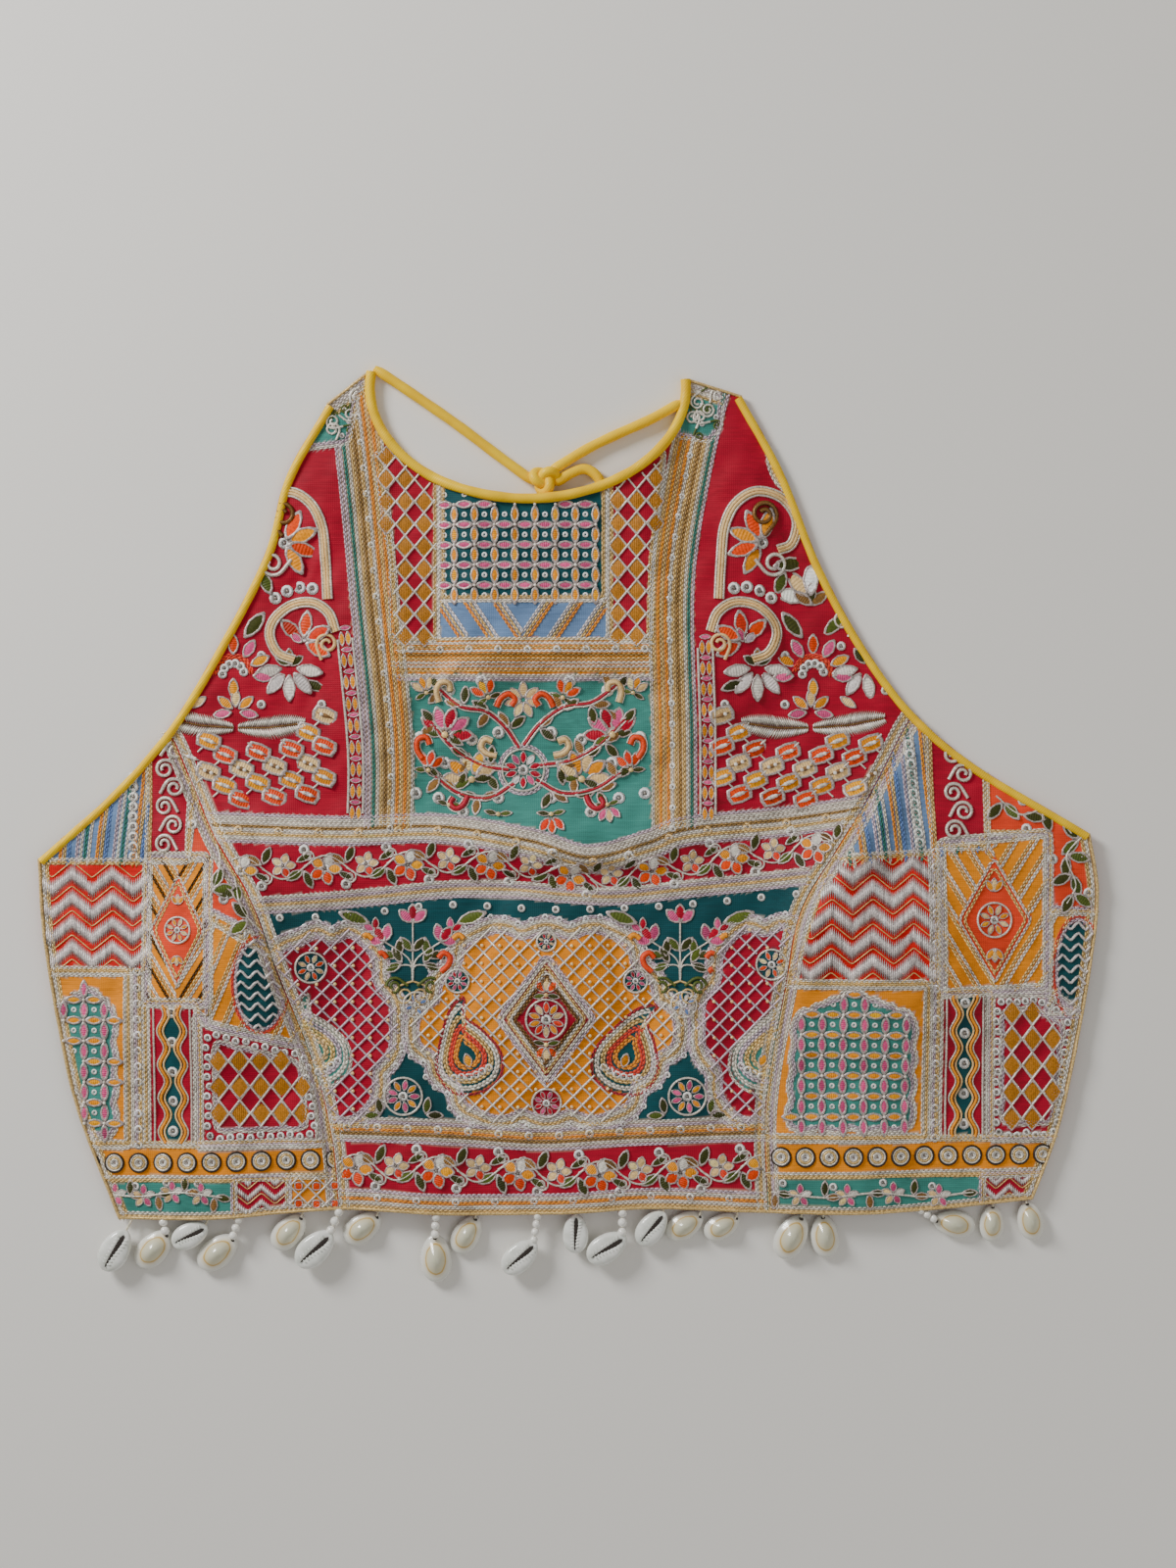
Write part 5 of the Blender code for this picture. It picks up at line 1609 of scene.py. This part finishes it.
def stamped(name, form, rows):
    """A mesh of one stamp, set on every row: place, turn, size, tint and lift."""
    x, y = rows[:, 0], rows[:, 1]
    cloud = bpy.data.meshes.new(name + "_points")
    cloud.vertices.add(len(rows))
    cloud.vertices.foreach_set("co", (np.column_stack([x, y, skin(x, y) + rows[:, 9]]) * MM).ravel())
    values = {
        "turn": ("FLOAT_VECTOR", "vector", tilts(normals(x, y), rows[:, 2])),
        "size": ("FLOAT_VECTOR", "vector", rows[:, 3:6] * MM),
        "tint": ("FLOAT_COLOR", "color", np.column_stack([rows[:, 6:9], np.ones(len(rows))])),
    }
    for key, (kind, field, value) in values.items():
        cloud.attributes.new(key, kind, "POINT").data.foreach_set(field, value.ravel())
    holder = link_object(name + "_points", cloud)
    holder.modifiers.new("stamp", "NODES").node_group = stamp_tree(form)
    bpy.context.view_layer.update()
    mesh = bpy.data.meshes.new_from_object(holder.evaluated_get(bpy.context.evaluated_depsgraph_get()))
    bpy.data.objects.remove(holder)
    # Where an edge rolls down, nothing dips below the floor
    spots = np.empty(len(mesh.vertices) * 3)
    mesh.vertices.foreach_get("co", spots)
    spots[2::3] = np.maximum(spots[2::3], 0.0)
    mesh.vertices.foreach_set("co", spots)
    mesh.name = name
    return link_object(name, mesh)


PIECE_TRIANGLES = 190000
for key, (form, node_slot) in STAMPS.items():
    if key not in pressed:
        continue
    rows = np.vstack(pressed[key])
    per_stamp = triangles(form)
    parts = len(rows) * per_stamp // PIECE_TRIANGLES + 1
    for part, piece_rows in enumerate(np.array_split(rows, parts), start=1):
        piece = ready(stamped(f"embroidery_{key}_{part}", form, piece_rows))
        print(piece.name, len(piece_rows), "stamps,", len(piece_rows) * per_stamp, "triangles")

# %% Couched cords
for thread, runs in laid.items():
    lines = [np.column_stack([run, skin(run[:, 0], run[:, 1]) + 0.32 * width]) for run, width in runs]
    metal = thread in METALS
    paint = stitched(
        f"couched_{thread}_{'metal_thread' if metal else 'floss'}", 0.4 if metal else 0.55, TINTS[thread],
        contrast=0.45 if metal else 0.25, Metallic=0.4 if metal else 0.0,
    )
    cords = cord_curve(f"couched_{thread}", lines, [0.5 * width for _, width in runs], paint)
    ready(cords)
    print(cords.name, len(runs), "runs,", sum(len(line) for line in lines) * 8, "triangles")

# %% [markdown]
# ## The cloth
# Each panel is one grid stretched between its four edges, so it has no holes and its weave follows the
# cut. The patchwork's colours are painted on its points. Solidify gives the wall, with plain silk for
# the inside.

# %% Panels of the front


def stretched(u, v, sides):
    """The patch between four edges, for arrays of shares."""
    bottom, top, left_edge, right_edge = (edge(s, *stretch) for s, stretch in zip((u, u, v, v), sides))
    ends = np.array([0.0, 1.0])
    low, high = edge(ends, *sides[0]), edge(ends, *sides[1])
    u, v = u[:, None], v[:, None]
    return (
        bottom * (1 - v) + top * v + left_edge * (1 - u) + right_edge * u
        - low[0] * (1 - u) * (1 - v) - low[1] * u * (1 - v) - high[0] * (1 - u) * v - high[1] * u * v
    )


GROUNDS = {
    "crimson": "#AC0028", "mustard": "#F29000", "teal": "#3F8A7E", "dark_teal": "#00494F",
    "coral": "#EC4420", "light_blue": "#6C8AB2", "red": "#DC0C06", "plain": PLAIN_CRIMSON,
}


def cloth(name, sides, columns, rows, base, height, patches, wall, own_area=None):
    """A sheet between four edges, painted patch by patch, with a wall below its face."""
    bm = bmesh.new()
    bmesh.ops.create_grid(bm, x_segments=columns, y_segments=rows, size=0.5, calc_uvs=True)
    for face in bm.faces:
        face.smooth = True
    mesh = mesh_from(bm, name)
    flat = np.empty(len(mesh.vertices) * 3)
    mesh.vertices.foreach_get("co", flat)
    flat = flat.reshape(-1, 3)
    points = stretched(flat[:, 0] + 0.5, flat[:, 1] + 0.5, sides)
    tall = height(points[:, 0], points[:, 1])
    mesh.vertices.foreach_set("co", (np.column_stack([points, tall]) * MM).ravel())
    colours = np.tile(linear(GROUNDS[base]), (len(points), 1))
    for outline, ground, cut in patches:
        colours[within(points, [outline, *cut])] = linear(GROUNDS[ground])
    # Painted shadow under the plaits: the darkened colour of their threads
    for outline, shadow, area in painted_plait_shade:
        if patches and area[-1] is own_area:
            low, high = span(outline)
            near = np.flatnonzero(((points > low - 1) & (points < high + 1)).all(axis=1))
            colours[near[within(points[near], [outline, *area[:-1]])]] = shadow
    mesh.attributes.new("ground", "FLOAT_COLOR", "POINT").data.foreach_set("color", colours.ravel())
    sheet = link_object(name, mesh, patchwork_silk if patches else plain_silk)
    mesh.materials.append(plain_silk)
    solid = sheet.modifiers.new("wall", "SOLIDIFY")
    solid.thickness, solid.offset = wall * MM, -1
    solid.material_offset = 1
    mesh.update()
    return ready(sheet)


SHEETS = {
    # CAD node, columns, rows, base ground
    "centre": ("front_centre", 200, 230, "crimson"),
    "left": ("front_side_left", 108, 168, "mustard"),
    "right": ("front_side_right", 108, 168, "mustard"),
}
for name, (node, columns, rows, base) in SHEETS.items():
    sheet = cloth(
        node + "_cloth", PANELS[name], columns, rows, base, skin, grounds[name], CLOTH_WALL, AREA[name],
    )
    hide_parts(node)
    low, high = span(OUTLINE[name])
    area = area_of(OUTLINE[name])

# %% [markdown]
# ## Back band and piping
# The back band is plain crimson silk in two halves that meet under a placket. All open edges are bound
# with yellow satin round a cord. A piping is a smooth tube.

# %% Back halves
BACK_INSET, BACK_CLOSING_X, BACK_TOP, BACK_CLOTH_WALL = 1.2, 12, 1.45, 1.1


def back_height(x, y):
    """The back lies flat, with a faint unevenness."""
    return BACK_TOP + 0.12 * np.sin(0.21 * x + 0.4) * np.sin(0.17 * y)


for node, sign, side_line in (("back_left", -1, side_left), ("back_right", 1, side_right)):
    outer = side_line + (-sign * BACK_INSET, 0)
    outer[0, 1] += BACK_INSET
    middle_x = BACK_CLOSING_X + sign * SEAM_GAP / 2
    # Edges run from left to right: from the side to the closing, or on the right half turned round
    low_xs, top_xs = (np.linspace(*(x, middle_x)[::-sign], 60) for x in outer[[0, -1], 0])
    low_edge = np.column_stack([low_xs, np.interp(low_xs, *hem.T) + BACK_INSET])
    top_edge = np.column_stack([top_xs, np.interp(top_xs, *band_top.T)])
    at_side, at_middle = (0, -1)[::-sign]
    outer = np.vstack([low_edge[at_side], outer[3:-3], top_edge[at_side]])
    middle = np.vstack([low_edge[at_middle], top_edge[at_middle]])
    sides = [[(line, 1.0)] for line in (low_edge, top_edge, *(outer, middle)[::-sign])]
    sheet = cloth(node + "_cloth", sides, 60, 40, "plain", back_height, [], BACK_CLOTH_WALL)
    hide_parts(node)
    outline = np.vstack([low_edge, top_edge[::-1]])
    low, high = span(outline)
    print(sheet.name, [round(float(v)) for v in high - low], "mm")

placket_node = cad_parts["back_placket"]
for item in placket_node.material_slots:
    item.material = plain_silk

# %% Piping round the neck, the armholes and the back
PIPINGS = {
    # line, radius, height of its middle above the cloth's underside, whether it binds the front
    "neck_piping": (dense(neckline(0), 1.6), 2.15, 2.2, True),
    "armhole_piping_left": (dense(beside(armhole_left, 1.8), 1.6), 1.75, 1.8, True),
    "armhole_piping_right": (dense(beside(armhole_right, -1.8), 1.6), 1.75, 1.8, True),
    "back_piping": (dense(beside(band_top[3:-3], 1.7), 3), 1.4, 1.4, False),
}
for node, (line, radius, lift, on_front) in PIPINGS.items():
    base = skin(line[:, 0], line[:, 1]) - CLOTH_TOP if on_front else np.zeros(len(line))
    reach = reach_of(line)
    round_line = np.column_stack([line, np.maximum(base + lift, radius * 1.06)])
    swell = radius * (1 + 0.03 * np.sin(reach / 4.1) + 0.02 * np.sin(reach / 1.7 + 1))
    bound = ready(cord_curve(node + "_satin", [round_line], [swell], yellow_satin, 4))
    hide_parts(node)
    print(bound.name, round(reach[-1]), "mm")

# %% [markdown]
# ## Cowries
# Each cowrie hangs from the hem by a thread with a few pearls. One side is a smooth dome with a yellow
# ring; the other has the toothed slit. Both come from a sphere whose poles are the tips of the shell.
# The ring is drawn from the template's own plan, kept as its UV map, so it stays with the shell.

# %% Shell, slit, pearl and thread
shell_enamel, tree, shader = new_material("polished_cowrie_shell", 0.2, Coat_Weight=0.5, Coat_Roughness=0.08)
plan = add(tree, "ShaderNodeTexCoord").outputs["UV"]
object_place = add(tree, "ShaderNodeTexCoord").outputs["Object"]
reach = add(tree, "ShaderNodeVectorMath", {0: plan}, operation="LENGTH")
wander = add(tree, "ShaderNodeTexNoise", {"Vector": object_place, "Scale": 1 / (4 * MM), "Detail": 4.0})
spread = add(tree, "ShaderNodeMath", {
    0: wander.outputs["Fac"], 1: 0.14, 2: reach.outputs["Value"],
}, operation="MULTIPLY_ADD")
rings = add(tree, "ShaderNodeValToRGB", {"Fac": spread.outputs[0]})
RING_STOPS = [
    (0.0, "#CCCCB0"), (0.42, "#D8D4BA"), (0.64, "#DED4AE"), (0.7, "#CFA240"), (0.76, "#EADFC2"),
    (0.9, "#F0EDE0"), (1.0, "#E9E8DE"),
]
set_stops(rings.color_ramp, [(position, linear(colour)) for position, colour in RING_STOPS])
tree.links.new(rings.outputs["Color"], shader.inputs["Base Color"])

shell_base, tree, shader = new_material("pale_cowrie_base", 0.24, Coat_Weight=0.5, Coat_Roughness=0.1)
cloudy = add(tree, "ShaderNodeTexNoise", {
    "Vector": add(tree, "ShaderNodeTexCoord").outputs["Object"], "Scale": 1 / (5 * MM), "Detail": 4.0,
})
blush = add(tree, "ShaderNodeValToRGB", {"Fac": cloudy.outputs["Fac"]})
set_stops(blush.color_ramp, [(0.35, linear("#DDE0D6")), (0.65, linear("#F6F6F0"))])
tree.links.new(blush.outputs["Color"], shader.inputs["Base Color"])

# Painted shade: the slit and the drilled hole are hollows, drawn as dark surfaces
painted_opening_shade = stitched("dark_shell_opening", 0.6, "#2B211A", contrast=0.3)
pearl_coat = stitched("pearl_bead_coat", 0.18, "#F4F1E8", contrast=0.08, Coat_Weight=0.7, Coat_Roughness=0.05)
cream_thread = stitched("twisted_cream_cotton", 0.8, "#E9DFC6", tone_and_glint_mm=0.5)

# %% Shell templates
SHELL_WIDTH_SHARE, SHELL_DOME, SHELL_BASE = 0.64, 0.28, 0.13
# Places in the list of materials that each shell carries
ENAMEL, BASE, OPENING_SHADE, PEARL, COTTON = range(5)


def give_paint(made, paint, smooth=False):
    """Gives the part just made its paint, and smooths it or not."""
    for face in {f for v in made["verts"] for f in v.link_faces}:
        face.material_index = paint
        face.smooth = smooth


def slit_at(share):
    """The opening's half width and its bend to one side, as shares of the shell's length."""
    return 0.03 + 0.045 * step_up(-0.9, 0.9, share), 0.018 * math.sin(2.4 * share)


def shell(length, slit_up):
    """A cowrie with its near tip at the origin and its length along -Y, resting on z = 0."""
    dome, base = length * SHELL_DOME, length * SHELL_BASE
    up, down = (base, dome) if slit_up else (dome, base)
    bm = bmesh.new()
    bmesh.ops.create_uvsphere(bm, u_segments=32, v_segments=22, radius=1.0)
    plan = bm.loops.layers.uv.new("UVMap")
    for face in bm.faces:
        face.smooth = True
        face.material_index = BASE if slit_up else ENAMEL
        for corner in face.loops:
            x, y, z = corner.vert.co
            corner[plan].uv = (x, z) if y > -0.05 else (0.9, 0.3)
    for vert in bm.verts:
        x, y, z = vert.co
        reach = min(1.0, math.hypot(x, z))
        fullness = 1 - 0.12 * z
        # The dome stands on a wide thick margin, and the slit side is flatter with a soft furrow
        if y > 0 and reach >= 1:
            y = 0.0
        elif y > 0 and slit_up:
            y = math.sqrt(1 - reach ** 4) * (1 - 0.22 * math.exp(-(x / 0.2) ** 2))
        elif y > 0:
            y = 0.42 * math.sqrt(1 - reach * reach) + 0.58 * (1 - step_up(0.0, 0.86, reach))
        vert.co = (
            x * fullness * length * SHELL_WIDTH_SHARE / 2,
            (z - 1) * length / 2,
            down + y * fullness * (up if y > 0 else down),
        )
    if slit_up:
        # The opening is wide near the hung tip and thins towards the other, and its lips are toothed.
        # Its hollow is painted shade: a thin dark lens laid on top
        top = down + up * 0.8
        made = bmesh.ops.create_uvsphere(bm, u_segments=12, v_segments=12, radius=1.0)
        for vert in made["verts"]:
            x, y, z = vert.co
            wide, bend = slit_at(y)
            vert.co = (length * (x * wide + bend), length * (y * 0.42 - 0.5), top + z * length * 0.022)
        give_paint(made, OPENING_SHADE)
        for k in range(9):
            share = 0.78 - 0.19 * k
            wide, bend = slit_at(share)
            for way in (-1, 1):
                across = length * (way * (wide + 0.026) + bend)
                place = (
                    Matrix.Translation((across, length * (share * 0.42 - 0.5), top + length * 0.008))
                    @ Matrix.Rotation(way * 0.2, 4, "Z")
                    @ Matrix.Diagonal((length * 0.062, length * 0.02, length * 0.034, 1))
                )
                made = bmesh.ops.create_uvsphere(bm, u_segments=6, v_segments=4, radius=1.0, matrix=place)
                give_paint(made, BASE, smooth=True)
    else:
        # The drilled hole is a small dark ellipsoid set in the dome, painted shade
        hole = (
            Matrix.Translation((0, -length * 0.07, down + up * 0.42))
            @ Matrix.Diagonal((length * 0.05, length * 0.035, length * 0.04, 1))
        )
        give_paint(bmesh.ops.create_uvsphere(bm, u_segments=10, v_segments=6, radius=1.0, matrix=hole), OPENING_SHADE)
    return bm


# %% Drops along the hem
THREAD_RADIUS, BEAD_RADIUS, BEAD_PITCH = 0.5, 2.0, 3.7
DROPS = [
    # hem x, middle x, clear of the hem, turn, beads, length, slit up
    (-184.4, -192.0, 4.2, -29, 0, 19.6, True), (-172.0, -176.0, 4.9, -44, 1, 19.6, False),
    (-152.0, -160.2, 0.8, -62, 0, 17.0, True), (-138.8, -148.6, 6.8, -50, 2, 20.0, False),
    (-111.2, -118.2, 0.7, -42, 0, 18.6, False), (-95.6, -106.8, 8.2, -46, 2, 20.0, True),
    (-79.4, -86.7, 0.9, -53, 0, 18.6, False), (-55.0, -55.3, 9.2, 2, 2, 20.6, False),
    (-38.2, -42.2, 0.7, -30, 0, 18.0, False), (-11.4, -19.3, 10.6, -47, 3, 18.6, True),
    (4.4, 4.4, 0.6, 0, 0, 17.0, True), (24.4, 17.8, 8.8, -57, 2, 19.0, True),
    (42.4, 36.9, 0.7, -38, 0, 17.6, True), (58.2, 51.1, 0.8, -58, 0, 17.6, False),
    (73.8, 67.0, 0.9, -60, 0, 16.6, False), (101.0, 96.7, 0.9, -27, 0, 20.6, False),
    (110.0, 110.9, 0.7, 6, 0, 18.6, False), (150.0, 166.3, 1.6, 80, 2, 18.0, False),
    (182.6, 182.4, 0.9, -2, 0, 16.0, False), (196.4, 198.8, 1.0, 12, 0, 17.0, False),
]
for number, (hem_x, middle_x, clear, degrees, beads, length, slit_up) in enumerate(DROPS, start=1):
    angle = math.radians(degrees)
    way = Vector((math.sin(angle), -math.cos(angle), 0))
    above = math.hypot(length / 2 * math.cos(angle), length * SHELL_WIDTH_SHARE / 2 * math.sin(angle))
    rest = length * (SHELL_DOME if slit_up else SHELL_BASE)
    middle = Vector((middle_x, float(np.interp(middle_x, *hem.T)) - clear - above, rest))
    tip = middle - way * (length / 2)
    bm = shell(length, slit_up)
    bmesh.ops.rotate(bm, cent=(0, 0, 0), verts=bm.verts, matrix=Matrix.Rotation(angle, 3, "Z"))
    bmesh.ops.translate(bm, vec=(tip.x, tip.y, 0), verts=bm.verts)

    hem_y = float(np.interp(hem_x, *hem.T))
    hem_z = float(underside(np.array(hem_x), np.array(hem_y)))
    start = Vector((hem_x, hem_y + 1.0, max(hem_z + 0.8, BEAD_RADIUS)))
    end = tip + way * length * 0.09
    end.z = rest + (0 if slit_up else length * SHELL_DOME * 0.42)
    turned = (end - start).to_track_quat("Z", "Y").to_matrix().to_4x4()
    run = (end - start).length
    made = bmesh.ops.create_cone(
        bm, cap_ends=True, segments=8, radius1=THREAD_RADIUS, radius2=THREAD_RADIUS, depth=run,
        matrix=Matrix.Translation((start + end) / 2) @ turned,
    )
    give_paint(made, COTTON)
    # The pearls touch and fill the thread
    count = max(1, round((run - 0.8) / BEAD_PITCH)) if beads else 0
    gap = (run - 0.8) / max(1, count)
    for bead in range(count):
        place = start.lerp(end, (0.4 + (bead + 0.5) * gap) / run)
        size = min(BEAD_RADIUS, gap * 0.51)
        place = Matrix.Translation(place)
        made = bmesh.ops.create_uvsphere(bm, u_segments=14, v_segments=9, radius=size, matrix=place)
        give_paint(made, PEARL, smooth=True)
    bmesh.ops.recalc_face_normals(bm, faces=bm.faces)
    bmesh.ops.scale(bm, vec=(MM, MM, MM), verts=bm.verts)
    mesh = mesh_from(bm, f"cowrie_{number:02d}")
    for material in (shell_enamel, shell_base, painted_opening_shade, pearl_coat, cream_thread):
        mesh.materials.append(material)
    drop = ready(link_object(mesh.name, mesh))
    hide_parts(f"drop_{number:02d}")
print(len(DROPS), "cowries,", len(mesh.polygons), "faces in the last")

# %% [markdown]
# How far the dressed model reaches past the imported one is printed for each axis.

# %% Print how far the boxes differ
visual_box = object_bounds()
for axis, low_cad, high_cad, low, high in zip("xyz", *cad_box, *visual_box):
    print(axis, "grows by", round((low_cad - low) * 1000, 1), "and", round((high - high_cad) * 1000, 1), "mm")
